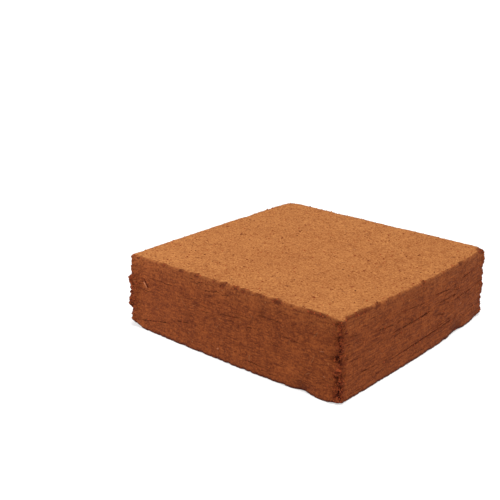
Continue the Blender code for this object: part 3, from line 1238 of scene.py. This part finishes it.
@dataclass(frozen=True)
class Finish:
    """A material worked out in nodes, with what all of this bale's finishes share."""

    name: str
    roughness: float
    gloss: float

    def start(self) -> tuple[bpy.types.Material, Tree]:
        """Makes an empty material.

        Returns:
            The material and its tree.
        """
        material = bpy.data.materials.new(self.name)
        material.use_nodes = True
        material.node_tree.nodes.clear()
        return material, material.node_tree

    def end(
        self, tree: Tree, colour: Socket | Colour, bump: Socket | None = None, glow: float = 0.0
    ) -> None:
        """Adds the shader and the output.

        Args:
            tree: the tree.
            colour: the base colour, or what gives it.
            bump: what turns the normals, if anything.
            glow: how strongly it glows white.
        """
        inputs = {"Base Color": colour, "Roughness": self.roughness, "Specular IOR Level": self.gloss}
        if bump is not None:
            inputs["Normal"] = bump
        if glow > 0:
            inputs |= {"Emission Color": WHITE, "Emission Strength": glow}
        shader = add_node(tree, "ShaderNodeBsdfPrincipled", inputs)
        add_node(tree, "ShaderNodeOutputMaterial", {"Surface": shader})

    def patches(self, tree: Tree, place: Socket, size: float, detail: float) -> Socket:
        """Noise whose patches are about as wide as the size."""
        values = {"Vector": place, "Scale": 1 / size, "Detail": detail, "Roughness": PATCH_FADE}
        return add_node(tree, "ShaderNodeTexNoise", values)

    def weighed(self, tree: Tree, *parts: tuple[Socket, float]) -> Socket:
        """Sum of several values, each times its weight.

        Args:
            tree: the tree.
            parts: each value with its weight.

        Returns:
            The sum.
        """
        total = 0.0
        for value, weight in parts:
            values = {0: value, 1: weight, 2: total}
            total = add_node(tree, "ShaderNodeMath", values, operation="MULTIPLY_ADD")
        return total

    def over(self, tree: Tree, under: Socket | Colour, top: Socket | Colour, share: Socket) -> Socket:
        """One colour laid over another by a share."""
        values = {"Factor_Float": share, "A_Color": under, "B_Color": top}
        return add_node(tree, "ShaderNodeMix", values, out="Result_Color", data_type="RGBA")

    def between(self, tree: Tree, value: Socket, span: tuple[float, float], low: str, high: str) -> Socket:
        """Colour that runs from one hex colour to another as a value crosses a span.

        Args:
            tree: the tree.
            value: the value.
            span: the ends of the span.
            low: the colour below it.
            high: the colour above it.

        Returns:
            The colour.
        """
        values = {"Value": value, "From Min": span[0], "From Max": span[1]}
        share = add_node(tree, "ShaderNodeMapRange", values)
        return self.over(tree, linear(low), linear(high), share)


@dataclass(frozen=True)
class PressedPith(Finish):
    """Coir pith pressed into a block: matt and granular, golden where the platen smoothed it."""

    name: str = "pressed_coir_pith"
    # Dry pith is porous, so it is near fully matt and has little of the usual gloss of a solid.
    roughness: float = 0.95
    gloss: float = 0.15
    # Two shades each of the smoothed top, the cut walls and the loose crumbs, then the painted shade of
    # cracks and hollows, and flecks. The walls' shades are darker and redder than the top's: partly the cut
    # face's own colour, partly painted shade for the walls' weaker light.
    top_dark: str = "914F26"
    top_light: str = "C8864C"
    shaded_wall_dark: str = "672C12"
    shaded_wall_light: str = "9D5226"
    crumb_dark: str = "501A0B"
    crumb_light: str = "A85228"
    # The painted shade laid in cracks, pits, chips, creases and along the foot.
    crack: str = "421206"
    dark_fleck: str = "6A3318"
    light_fleck: str = "C88E5C"
    # Pith grains are 0.3 to 1 mm wide; the pattern is drawn as coarse as it needs to be to show.
    grain: float = 2.2 * MM
    # Damp and dry patches, and the slow change of shade from one end of a press load to the other.
    mottle: float = 9 * MM
    cloud: float = 70 * MM
    # Level streaks where layers lie edge on; fibres there are 10 to 30 mm long. Front wall, right wall.
    streak_lengths: tuple[float, float] = (11 * MM, 26 * MM)
    streak_height: float = 1.5 * MM
    # Shares of grain, mottle, cloud and streak in the shade of each face, and the span that they fill.
    top_weights: tuple[float, ...] = (0.70, 0.18, 0.12)
    wall_weights: tuple[float, ...] = (0.42, 0.16, 0.08, 0.34)
    top_span: tuple[float, float] = (0.36, 0.64)
    wall_span: tuple[float, float] = (0.39, 0.61)
    crumb_span: tuple[float, float] = (0.38, 0.66)
    crumb_share: float = 0.6
    # Short dark strokes where layers begin to part, and the patches that have them.
    stroke: str = "53200E"
    stroke_lengths: tuple[float, float] = (10 * MM, 30 * MM)
    stroke_height: float = 2.9 * MM
    stroke_width: float = 0.055
    stroke_patch: float = 13 * MM
    stroke_span: tuple[float, float] = (0.36, 0.54)
    stroke_strength: float = 0.78
    # Dark and light flecks of husk of 1 to 1.5 mm: their sizes are shares of the spacing.
    fleck_spacing: float = 13 * MM
    fleck_sizes: tuple[float, float] = (0.12, 0.085)
    fleck_strengths: tuple[float, float] = (0.6, 0.25)
    fleck_shift: float = 0.37
    fleck_core: float = 0.5
    # Height of the finest grain, and the shares of grain and streak in it.
    relief: float = 0.36 * MM
    relief_weights: tuple[float, float] = (0.6, 0.45)

    def material(self) -> bpy.types.Material:
        """Pressed pith: fine low mottling on top, level streaks on the walls, painted shade in cracks,
        pits, chips, creases and along the foot.

        Returns:
            The material.
        """
        material, tree = self.start()
        place = add_node(tree, "ShaderNodeTexCoord", out="Object")
        grain = self.patches(tree, place, self.grain, FINE_DETAIL)
        mottle = self.patches(tree, place, self.mottle, PLAIN_DETAIL)
        cloud = self.patches(tree, place, self.cloud, PLAIN_DETAIL)
        streak = self.level(tree, place, self.streak_lengths, self.streak_height, FINE_DETAIL)
        top_value = self.weighed(tree, *zip((grain, mottle, cloud), self.top_weights))
        wall_value = self.weighed(tree, *zip((grain, mottle, cloud, streak), self.wall_weights))
        top = self.between(tree, top_value, self.top_span, self.top_dark, self.top_light)
        wall = self.between(tree, wall_value, self.wall_span, self.shaded_wall_dark, self.shaded_wall_light)
        wall = self.stroked(tree, wall, place)
        crumbs = self.between(tree, grain, self.crumb_span, self.crumb_dark, self.crumb_light)
        crumbly = self.weighed(tree, (self.share(tree, Mask.CRUMBLE), self.crumb_share))
        colour = self.over(tree, wall, top, self.share(tree, Mask.PRESSED))
        colour = self.over(tree, colour, crumbs, crumbly)
        colour = self.flecked(tree, colour, place)
        # Painted shade over everything, by the painted shade mask.
        colour = self.over(tree, colour, linear(self.crack), self.share(tree, Mask.HOLLOW))
        height = self.weighed(tree, *zip((grain, streak), self.relief_weights))
        values = {"Height": height, "Distance": self.relief, "Strength": 1.0}
        bump = add_node(tree, "ShaderNodeBump", values)
        self.end(tree, colour, bump)
        return material

    def share(self, tree: Tree, mask: Mask) -> Socket:
        """Reads one of the skin's masks."""
        return add_node(tree, "ShaderNodeAttribute", out="Fac", attribute_name=mask.value)

    def level(
        self, tree: Tree, place: Socket, lengths: tuple[float, float], height: float, detail: float
    ) -> Socket:
        """Noise drawn out level, by one length along the front wall and another along the right one.

        Args:
            tree: the tree.
            place: the Object coordinates.
            lengths: those two lengths.
            height: how high its patches are.
            detail: how many finer levels it has.

        Returns:
            The noise.
        """
        scale = (1 / lengths[0], 1 / lengths[1], 1 / height)
        stretched = add_node(tree, "ShaderNodeMapping", {"Vector": place, "Scale": scale})
        return self.patches(tree, stretched, 1.0, detail)

    def stroked(self, tree: Tree, colour: Socket, place: Socket) -> Socket:
        """Draws short thin dark strokes where the layers begin to part, in patches.

        Args:
            tree: the tree.
            colour: the colour under them.
            place: the Object coordinates.

        Returns:
            The colour with the strokes on it.
        """
        value = self.level(tree, place, self.stroke_lengths, self.stroke_height, PLAIN_DETAIL)
        away = add_node(tree, "ShaderNodeMath", {0: value, 1: PATCH_MIDDLE}, operation="SUBTRACT")
        away = add_node(tree, "ShaderNodeMath", {0: away}, operation="ABSOLUTE")
        line = {"Value": away, "From Min": self.stroke_width, "From Max": 0.0}
        line = add_node(tree, "ShaderNodeMapRange", line)
        patch = self.patches(tree, place, self.stroke_patch, 1.0)
        values = {"Value": patch, "From Min": self.stroke_span[0], "From Max": self.stroke_span[1]}
        patch = add_node(tree, "ShaderNodeMapRange", values | {"To Max": self.stroke_strength})
        share = add_node(tree, "ShaderNodeMath", {0: line, 1: patch}, operation="MULTIPLY")
        return self.over(tree, colour, linear(self.stroke), share)

    def flecked(self, tree: Tree, colour: Socket, place: Socket) -> Socket:
        """Sprinkles dark and light flecks over a colour.

        Args:
            tree: the tree.
            colour: the colour under them.
            place: the Object coordinates.

        Returns:
            The colour with the flecks on it.
        """
        for number, shade in enumerate((self.dark_fleck, self.light_fleck)):
            size, strength = self.fleck_sizes[number], self.fleck_strengths[number]
            shift = (self.fleck_shift * number, 0, 0)
            moved = add_node(tree, "ShaderNodeMapping", {"Vector": place, "Location": shift})
            values = {"Vector": moved, "Scale": 1 / self.fleck_spacing}
            spots = add_node(tree, "ShaderNodeTexVoronoi", values)
            values = {"Value": spots, "From Min": size, "From Max": size * self.fleck_core}
            share = add_node(tree, "ShaderNodeMapRange", values | {"To Max": strength})
            colour = self.over(tree, colour, linear(shade), share)
        return colour


@dataclass(frozen=True)
class TonedFinish(Finish):
    """Small loose things of coir, each with a tone of its own between two colours."""

    dark: str
    light: str
    mottle: float
    relief: float
    spots_weight: float = 0.5
    span: tuple[float, float] = (0.25, 1.25)

    def material(self) -> bpy.types.Material:
        """A tone for each small thing, so that the eye reads single ones and not a smooth skin.

        Returns:
            The material.
        """
        material, tree = self.start()
        place = add_node(tree, "ShaderNodeTexCoord", out="Object")
        spots = self.patches(tree, place, self.mottle, PLAIN_DETAIL)
        tone = add_node(tree, "ShaderNodeAttribute", out="Fac", attribute_name="tone")
        value = self.weighed(tree, (spots, self.spots_weight), (tone, 1.0))
        colour = self.between(tree, value, self.span, self.dark, self.light)
        values = {"Height": spots, "Distance": self.relief, "Strength": 1.0}
        bump = add_node(tree, "ShaderNodeBump", values)
        self.end(tree, colour, bump)
        return material


# The mottle of each small thing is about as wide as its largest grain, so that it rarely shows two shades.
# Grains that the platen smoothed: golden and matt, so that the top reads as fine grit.
GOLDEN_GRAIN = TonedFinish("smoothed_pith_grains", 0.95, 0.15, "8D4D25", "C8874F", 1.4 * MM, 0.2 * MM)
# Grains of the cut walls, which no platen touched: redder and darker, partly their own colour and partly
# the walls' painted shade, to break up the walls' shade.
BROWN_GRAIN = TonedFinish("wall_pith_grains", 0.95, 0.15, "5F2810", "974C24", 1.4 * MM, 0.2 * MM)
# Crumbs that have come loose at the corners and the cracks: the darkest and reddest of the pith.
RAGGED_CRUMB = TonedFinish("loose_pith_crumbs", 0.95, 0.15, "561C0C", "A44E28", 1.4 * MM, 0.2 * MM)
# Ends of bare coir fibre: paler and a little glossier than pith, so that they show as fine bright lines.
COIR_FIBRE = TonedFinish("coir_fibre", 0.7, 0.3, "70341A", "B4784A", 3 * MM, 0.1 * MM)
# Split husk: each sliver is a pale chip of its inside or a dark one of its skin, by its own tone; the one
# of tone 0 is a painted shadow beside a pale sliver.
HUSK = TonedFinish("husk_sliver", 0.9, 0.1, "4A160A", "C67E58", 2 * MM, 0.1 * MM)


@dataclass(frozen=True)
class StudioPaper(Finish):
    """Matt white paper floor, lit from below too, so that shadows on it stay faint."""

    name: str = "studio_floor"
    roughness: float = 1.0
    gloss: float = 0.0
    colour: str = "B6B6B6"
    glow: float = 0.62

    def material(self) -> bpy.types.Material:
        """Even white, so that the block stands in plain light.

        Returns:
            The material.
        """
        material, tree = self.start()
        self.end(tree, linear(self.colour), glow=self.glow)
        return material


@dataclass(frozen=True)
class Scatter:
    """Small things strewn over the skin by Geometry Nodes. Density is in things a square metre."""

    name: str
    zone: Mask
    finish: TonedFinish
    density: float
    smallest: float
    largest: float
    seed: int
    least_height: float = 0.3 * MM

    def sizes(self) -> dict[str, float | int]:
        """The tree's named inputs, with their values."""
        return {
            "Density": self.density,
            "Smallest": self.smallest,
            "Largest": self.largest,
            "Seed": self.seed,
        }

    def start(self) -> tuple[Tree, bpy.types.bpy_prop_collection]:
        """Starts the tree and gives it with the sockets of its named inputs.

        Returns:
            The tree and those sockets.
        """
        tree = bpy.data.node_groups.new(self.name, "GeometryNodeTree")
        tree.interface.new_socket("Ground", in_out="INPUT", socket_type="NodeSocketGeometry")
        tree.interface.new_socket("Geometry", in_out="OUTPUT", socket_type="NodeSocketGeometry")
        for key, value in self.sizes().items():
            kind = "NodeSocketInt" if isinstance(value, int) else "NodeSocketFloat"
            tree.interface.new_socket(key, in_out="INPUT", socket_type=kind)
        return tree, add_node(tree, "NodeGroupInput").node.outputs

    def strewn(self, tree: Tree, inputs: bpy.types.bpy_prop_collection) -> Socket:
        """Points all over the zone, denser where its mask is fuller.

        Args:
            tree: the tree.
            inputs: the sockets of its named inputs.

        Returns:
            The points.
        """
        named = {"Name": self.zone.value}
        zone = add_node(tree, "GeometryNodeInputNamedAttribute", named, "Attribute", data_type="FLOAT")
        density = add_node(tree, "ShaderNodeMath", {0: zone, 1: inputs["Density"]}, operation="MULTIPLY")
        values = {"Mesh": inputs["Ground"], "Density": density, "Seed": inputs["Seed"]}
        return add_node(tree, "GeometryNodeDistributePointsOnFaces", values, distribute_method="RANDOM")

    def drawn(self, tree: Tree, low: object, high: object, seed: int) -> Socket:
        """A random number between two numbers, or a random vector between two vectors.

        Args:
            tree: the tree.
            low: the least.
            high: the most.
            seed: which draw of this scatter it is.

        Returns:
            The number or the vector.
        """
        if isinstance(low, tuple):
            values = {"Min": low, "Max": high, "Seed": self.seed + seed}
            return add_node(tree, "FunctionNodeRandomValue", values, "Value", data_type="FLOAT_VECTOR")
        values = {"Min_001": low, "Max_001": high, "Seed": self.seed + seed}
        return add_node(tree, "FunctionNodeRandomValue", values, "Value_001", data_type="FLOAT")

    def turned(self, tree: Tree, points: Socket, turn: Socket) -> Socket:
        """The rotation that lays a thing on the skin at each point and then turns it."""
        values = {"Rotation": points.node.outputs["Rotation"], "Rotate By": turn}
        return add_node(tree, "FunctionNodeRotateRotation", values, rotation_space="LOCAL")

    def placed(self, tree: Tree, points: Socket, thing: Socket, rotation: Socket, scale: Socket) -> Socket:
        """Puts a thing at each point, with a tone of its own, as real mesh.

        Args:
            tree: the tree.
            points: the points.
            thing: the thing's geometry.
            rotation: how each is turned.
            scale: how large each is.

        Returns:
            The geometry of all of them.
        """
        values = {"Points": points, "Instance": thing, "Rotation": rotation, "Scale": scale}
        things = add_node(tree, "GeometryNodeInstanceOnPoints", values)
        values = {"Geometry": things, "Name": "tone", "Value": self.drawn(tree, 0.0, 1.0, 3)}
        stored = {"data_type": "FLOAT", "domain": "INSTANCE"}
        things = add_node(tree, "GeometryNodeStoreNamedAttribute", values, **stored)
        return add_node(tree, "GeometryNodeRealizeInstances", {"Geometry": things})

    def grow(self, ground: bpy.types.Object, tree: Tree, things: Socket) -> bpy.types.Object:
        """Ends the tree, runs it over the ground and keeps what it makes as a plain mesh.

        Args:
            ground: what the things are strewn over.
            tree: the tree.
            things: its last geometry.

        Returns:
            The new piece.
        """
        place = add_node(tree, "GeometryNodeInputPosition")
        parts = add_node(tree, "ShaderNodeSeparateXYZ", {"Vector": place}).node.outputs
        values = {0: parts["Z"], 1: self.least_height}
        height = add_node(tree, "ShaderNodeMath", values, operation="MAXIMUM")
        lifted = add_node(tree, "ShaderNodeCombineXYZ", {"X": parts["X"], "Y": parts["Y"], "Z": height})
        things = add_node(tree, "GeometryNodeSetPosition", {"Geometry": things, "Position": lifted})
        values = {"Geometry": things, "Material": self.finish.material()}
        things = add_node(tree, "GeometryNodeSetMaterial", values)
        add_node(tree, "NodeGroupOutput", {"Geometry": things})
        piece = bpy.data.objects.new(self.name, ground.data)
        bpy.context.scene.collection.objects.link(piece)
        modifier = piece.modifiers.new(self.name, "NODES")
        modifier.node_group = tree
        sizes = self.sizes()
        for item in tree.interface.items_tree:
            if item.name in sizes:
                modifier[item.identifier] = sizes[item.name]
        evaluated = piece.evaluated_get(bpy.context.evaluated_depsgraph_get())
        mesh = bpy.data.meshes.new_from_object(evaluated)
        mesh.name = self.name
        piece.modifiers.remove(modifier)
        piece.data = mesh
        return piece


@dataclass(frozen=True)
class GrainScatter(Scatter):
    """Grains of pith lying half sunk in the skin. Lengths are in metres, turns in radians."""

    least_shape: tuple[float, float, float] = (0.9, 0.75, 0.85)
    most_shape: tuple[float, float, float] = (1.5, 1.0, 1.15)
    most_turn: tuple[float, float, float] = (0.5, 0.5, math.tau)
    flatness: float = 0.6
    sunk: float = 0.25
    rugged: float = 0.25 * MM
    rugged_grain: float = 1.1 * MM

    def sizes(self) -> dict[str, float | int]:
        """The tree's named inputs, with their values."""
        return super().sizes() | {"Flatness": self.flatness, "Sunk": self.sunk, "Rugged": self.rugged}

    def build(self, ground: bpy.types.Object) -> bpy.types.Object:
        """Strews the grains over the ground.

        Args:
            ground: what they are strewn over.

        Returns:
            The new piece.
        """
        tree, inputs = self.start()
        points = self.strewn(tree, inputs)
        turn = self.drawn(tree, (0.0, 0.0, 0.0), self.most_turn, 1)
        rotation = self.turned(tree, points, turn)
        size = self.drawn(tree, inputs["Smallest"], inputs["Largest"], 0)
        depth = add_node(tree, "ShaderNodeMath", {0: size, 1: inputs["Sunk"]}, operation="MULTIPLY")
        inwards = {0: points.node.outputs["Normal"], "Scale": depth}
        inwards = add_node(tree, "ShaderNodeVectorMath", inwards, operation="SCALE")
        offset = add_node(tree, "ShaderNodeVectorMath", {0: inwards, "Scale": -1.0}, operation="SCALE")
        points = add_node(tree, "GeometryNodeSetPosition", {"Geometry": points, "Offset": offset})
        shape = self.drawn(tree, self.least_shape, self.most_shape, 2)
        flat = add_node(tree, "ShaderNodeCombineXYZ", {"X": 1.0, "Y": 1.0, "Z": inputs["Flatness"]})
        shape = add_node(tree, "ShaderNodeVectorMath", {0: shape, 1: flat}, operation="MULTIPLY")
        scale = add_node(tree, "ShaderNodeVectorMath", {0: shape, "Scale": size}, operation="SCALE")
        ball = add_node(tree, "GeometryNodeMeshIcoSphere", {"Radius": 1.0, "Subdivisions": 1})
        grains = self.placed(tree, points, ball, rotation, scale)
        values = {"Scale": 1 / self.rugged_grain, "Detail": 0.0}
        jolt = add_node(tree, "ShaderNodeTexNoise", values, "Color")
        middle = (PATCH_MIDDLE,) * 3
        jolt = add_node(tree, "ShaderNodeVectorMath", {0: jolt, 1: middle}, operation="SUBTRACT")
        values = {0: jolt, "Scale": inputs["Rugged"]}
        jolt = add_node(tree, "ShaderNodeVectorMath", values, operation="SCALE")
        grains = add_node(tree, "GeometryNodeSetPosition", {"Geometry": grains, "Offset": jolt})
        return self.grow(ground, tree, grains)


@dataclass(frozen=True)
class FibreScatter(Scatter):
    """Loose ends of short coir fibre. Lengths are shares of a fibre's own, turns in radians."""

    thickness: float = 0.018
    bend: float = 0.12
    lift: float = 0.06
    root_sunk: float = 0.02
    steps: int = 4
    least_turn: tuple[float, float, float] = (0.0, -0.25, 0.0)
    most_turn: tuple[float, float, float] = (0.0, 0.05, math.tau)

    def sizes(self) -> dict[str, float | int]:
        """The tree's named inputs, with their values."""
        return super().sizes() | {"Thickness": self.thickness, "Bend": self.bend, "Lift": self.lift}

    def build(self, ground: bpy.types.Object) -> bpy.types.Object:
        """Strews the fibres over the ground.

        Args:
            ground: what they are strewn over.

        Returns:
            The new piece.
        """
        tree, inputs = self.start()
        points = self.strewn(tree, inputs)
        values = {"X": 0.5, "Y": inputs["Bend"], "Z": inputs["Lift"]}
        middle = add_node(tree, "ShaderNodeCombineXYZ", values)
        values = {"Start": (0, 0, -self.root_sunk), "Middle": middle, "End": (1, 0, 0)}
        curve = add_node(tree, "GeometryNodeCurveQuadraticBezier", values | {"Resolution": self.steps})
        values = {"Resolution": 3, "Radius": inputs["Thickness"]}
        ring = add_node(tree, "GeometryNodeCurvePrimitiveCircle", values)
        values = {"Curve": curve, "Profile Curve": ring, "Fill Caps": True}
        fibre = add_node(tree, "GeometryNodeCurveToMesh", values)
        turn = self.drawn(tree, self.least_turn, self.most_turn, 1)
        size = self.drawn(tree, inputs["Smallest"], inputs["Largest"], 0)
        rotation = self.turned(tree, points, turn)
        return self.grow(ground, tree, self.placed(tree, points, fibre, rotation, size))


# Everything strewn over the skin. What would lie below its least height is drawn up to it.
SCATTERS = (
    GrainScatter(
        name="top_grains",
        zone=Mask.TOP,
        finish=GOLDEN_GRAIN,
        density=92000.0,
        smallest=0.5 * MM,
        largest=1.3 * MM,
        seed=3,
        flatness=0.7,
    ),
    GrainScatter(
        name="wall_grains",
        zone=Mask.WALLS,
        finish=BROWN_GRAIN,
        density=62000.0,
        smallest=0.45 * MM,
        largest=1.1 * MM,
        seed=5,
    ),
    GrainScatter(
        name="stray_crumbs",
        zone=Mask.TOP,
        finish=RAGGED_CRUMB,
        density=5200.0,
        smallest=0.6 * MM,
        largest=1.5 * MM,
        seed=9,
        flatness=0.7,
    ),
    GrainScatter(
        name="loose_crumbs",
        zone=Mask.LOOSE,
        finish=RAGGED_CRUMB,
        density=300000.0,
        smallest=0.4 * MM,
        largest=1.3 * MM,
        seed=7,
        flatness=0.8,
        rugged=0.6 * MM,
    ),
    FibreScatter(
        name="top_fibres",
        zone=Mask.TOP,
        finish=COIR_FIBRE,
        density=2600.0,
        smallest=3 * MM,
        largest=9 * MM,
        seed=11,
    ),
    FibreScatter(
        name="wall_fibres",
        zone=Mask.WALLS,
        finish=COIR_FIBRE,
        density=1500.0,
        smallest=3 * MM,
        largest=9 * MM,
        seed=12,
    ),
    FibreScatter(
        name="edge_fibres",
        zone=Mask.LOOSE,
        finish=COIR_FIBRE,
        density=16000.0,
        smallest=2 * MM,
        largest=6 * MM,
        seed=13,
        least_height=30 * MM,
        lift=0.25,
    ),
)


@dataclass(frozen=True)
class HuskSlivers:
    """Flat slivers of husk caught in the walls, one of them a dark painted shadow beside a pale one.
    Lengths are in metres.
    """

    block: PressedBlock
    finish: TonedFinish
    proud: float = 0.65 * MM
    steps: int = 6
    tip_width: float = 0.15
    tip_cut: float = 0.1
    section: tuple[tuple[float, float], ...] = (
        (-0.5, 0.0),
        (0.0, -1.0),
        (0.5, 0.0),
        (0.3, 0.9),
        (-0.2, 1.0),
    )

    def build(self) -> bpy.types.Object:
        """Lays every sliver on its wall.

        Returns:
            The new piece.
        """
        skin = Skin()
        tones = []
        for sliver in SLIVERS:
            self.lay(skin, sliver)
            tones += [sliver.tone] * (len(skin.places) - len(tones))
        piece = skin.piece("husk_slivers", self.block.shift)
        tone = piece.data.attributes.new("tone", "FLOAT", "POINT")
        tone.data.foreach_set("value", tones)
        piece.data.materials.append(self.finish.material())
        return piece

    def lay(self, skin: Skin, sliver: Sliver) -> None:
        """Adds one tapered sliver, bent to the wall.

        Args:
            skin: the mesh being gathered.
            sliver: where and how long it is.
        """
        form = self.block.form
        turn = math.radians(sliver.turn)
        rings = []
        for n in range(self.steps + 1):
            share = n / self.steps
            run = (share - 0.5) * sliver.length * MM
            bulge = math.sin(math.pi * (self.tip_cut + (1 - 2 * self.tip_cut) * share))
            width = sliver.width * MM * (self.tip_width + (1 - self.tip_width) * bulge)
            ring = []
            for side, rise in self.section:
                along = sliver.along * MM + run * math.cos(turn) - side * width * math.sin(turn)
                height = sliver.height * MM + run * math.sin(turn) + side * width * math.cos(turn)
                at = form.station(sliver.wall, along)
                out = form.stand_out(at, height, self.layer_at(height)) + self.proud * rise
                out += self.block.relief_at(at, height)[0]
                place = Vector((at.x + at.normal.x * out, at.y + at.normal.y * out, height))
                ring.append(skin.add(place, {}))
            rings.append(ring)
        for this, following in zip(rings, rings[1:]):
            for n, number in enumerate(this):
                after = (n + 1) % len(this)
                skin.faces.append((number, following[n], following[after], this[after]))
        skin.faces.append(tuple(rings[0]))
        skin.faces.append(tuple(reversed(rings[-1])))

    def layer_at(self, height: float) -> int:
        """Number of the layer at a height."""
        return sum(1 for bedding in BEDDINGS if bedding.height * MM < height)


@dataclass
class Studio:
    """Floor, light and camera. Lengths are in metres, angles in degrees, the panel's power in watts."""

    floor_reach: float = 10.0
    sweep: float = 0.7
    azimuth: float = 40.80
    elevation: float = 19.03
    distance: float = 1.1162
    lens: float = 62.27
    sensor: float = 36.0
    target: tuple[float, float, float] = (-0.1095, 0.0159, 0.0613)
    sun_tilt: float = 11.0
    sun_azimuth: float = 66.0
    sun_spread: float = 26.0
    sun_strength: float = 2.95
    sky: float = 0.29
    panel_place: tuple[float, float, float] = (-0.43, -0.37, 0.17)
    panel_aim: tuple[float, float, float] = (-0.15, -0.15, 0.04)
    panel_size: float = 0.25
    panel_power: float = 0.85

    def lay_floor(self) -> bpy.types.Object:
        """Lays the floor under the block, swept up far off so that it closes the view.

        Returns:
            The floor.
        """
        corners = [
            (reach * x, reach * y, height)
            for reach, height in ((self.floor_reach, 0.0), (self.floor_reach + self.sweep, self.sweep))
            for x, y in ((-1, -1), (1, -1), (1, 1), (-1, 1))
        ]
        sides = [(n, n + 4, (n + 1) % 4 + 4, (n + 1) % 4) for n in range(4)]
        mesh = bpy.data.meshes.new("floor")
        mesh.from_pydata(corners, [], [(0, 1, 2, 3), *sides])
        mesh.materials.append(StudioPaper().material())
        floor = bpy.data.objects.new("floor", mesh)
        bpy.context.scene.collection.objects.link(floor)
        return floor

    def towards(self, azimuth: float, elevation: float) -> Vector:
        """Unit vector from the block towards a direction in the studio.

        Args:
            azimuth: the angle round the block from straight in front.
            elevation: the angle above the floor.

        Returns:
            The vector.
        """
        turn, rise = math.radians(azimuth), math.radians(elevation)
        flat = math.cos(rise)
        return Vector((math.sin(turn) * flat, -math.cos(turn) * flat, math.sin(rise)))

    def set_light(self) -> None:
        """Hangs one broad soft light overhead, with a little light from all round."""
        lamp = bpy.data.lights.new("overhead", "SUN")
        lamp.energy = self.sun_strength
        lamp.angle = math.radians(self.sun_spread)
        holder = bpy.data.objects.new("overhead", lamp)
        way = self.towards(self.sun_azimuth, 90 - self.sun_tilt)
        holder.matrix_world = way.to_track_quat("Z", "Y").to_matrix().to_4x4()
        bpy.context.scene.collection.objects.link(holder)
        self.set_panel()
        world = bpy.data.worlds.new("studio")
        world.use_nodes = True
        tree = world.node_tree
        tree.nodes.clear()
        light = add_node(tree, "ShaderNodeBackground", {"Color": WHITE, "Strength": self.sky})
        add_node(tree, "ShaderNodeOutputWorld", {"Surface": light})
        bpy.context.scene.world = world
        bpy.context.scene.view_settings.view_transform = "Standard"
        bpy.context.scene.view_settings.look = "None"

    def set_panel(self) -> None:
        """Stands a weak soft panel at the left, so that the front wall darkens away from it."""
        lamp = bpy.data.lights.new("side_panel", "AREA")
        lamp.size = self.panel_size
        lamp.energy = self.panel_power
        panel = bpy.data.objects.new("side_panel", lamp)
        way = Vector(self.panel_place) - Vector(self.panel_aim)
        turn = way.to_track_quat("Z", "Y").to_matrix().to_4x4()
        panel.matrix_world = Matrix.Translation(Vector(self.panel_place)) @ turn
        panel.visible_camera = False
        bpy.context.scene.collection.objects.link(panel)

    def set_camera(self, shift: Vector) -> None:
        """Stands the camera where the photograph was taken from.

        Args:
            shift: how far the block was moved to bring its middle to the origin.
        """
        lens = bpy.data.cameras.new("camera")
        lens.lens = self.lens
        lens.sensor_width = self.sensor
        lens.clip_end = 4 * self.floor_reach
        camera = bpy.data.objects.new("camera", lens)
        way = self.towards(self.azimuth, self.elevation)
        place = Vector(self.target) + shift + way * self.distance
        camera.matrix_world = Matrix.Translation(place) @ way.to_track_quat("Z", "Y").to_matrix().to_4x4()
        bpy.context.scene.collection.objects.link(camera)
        bpy.context.scene.camera = camera


def hand_over(piece: bpy.types.Object) -> None:
    """Ties a finished piece to the bale's body, and reports it.

    Args:
        piece: the piece.
    """
    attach(piece, BODY)
    piece.data.calc_loop_triangles()
    log.info("%s: %d triangles", piece.name, len(piece.data.loop_triangles))


def main() -> None:
    """Builds the dressed bale and the studio round it."""
    logging.basicConfig(level=logging.INFO, format="%(name)s: %(message)s")
    pressed = PressedBlock()
    block = pressed.build()
    block.data.materials.append(PressedPith().material())
    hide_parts(NODE)
    hand_over(block)
    for scatter in SCATTERS:
        hand_over(scatter.build(block))
    hand_over(HuskSlivers(pressed, HUSK).build())
    studio = Studio()
    studio.lay_floor()
    studio.set_light()
    studio.set_camera(pressed.shift)


if __name__ == "__main__":
    main()
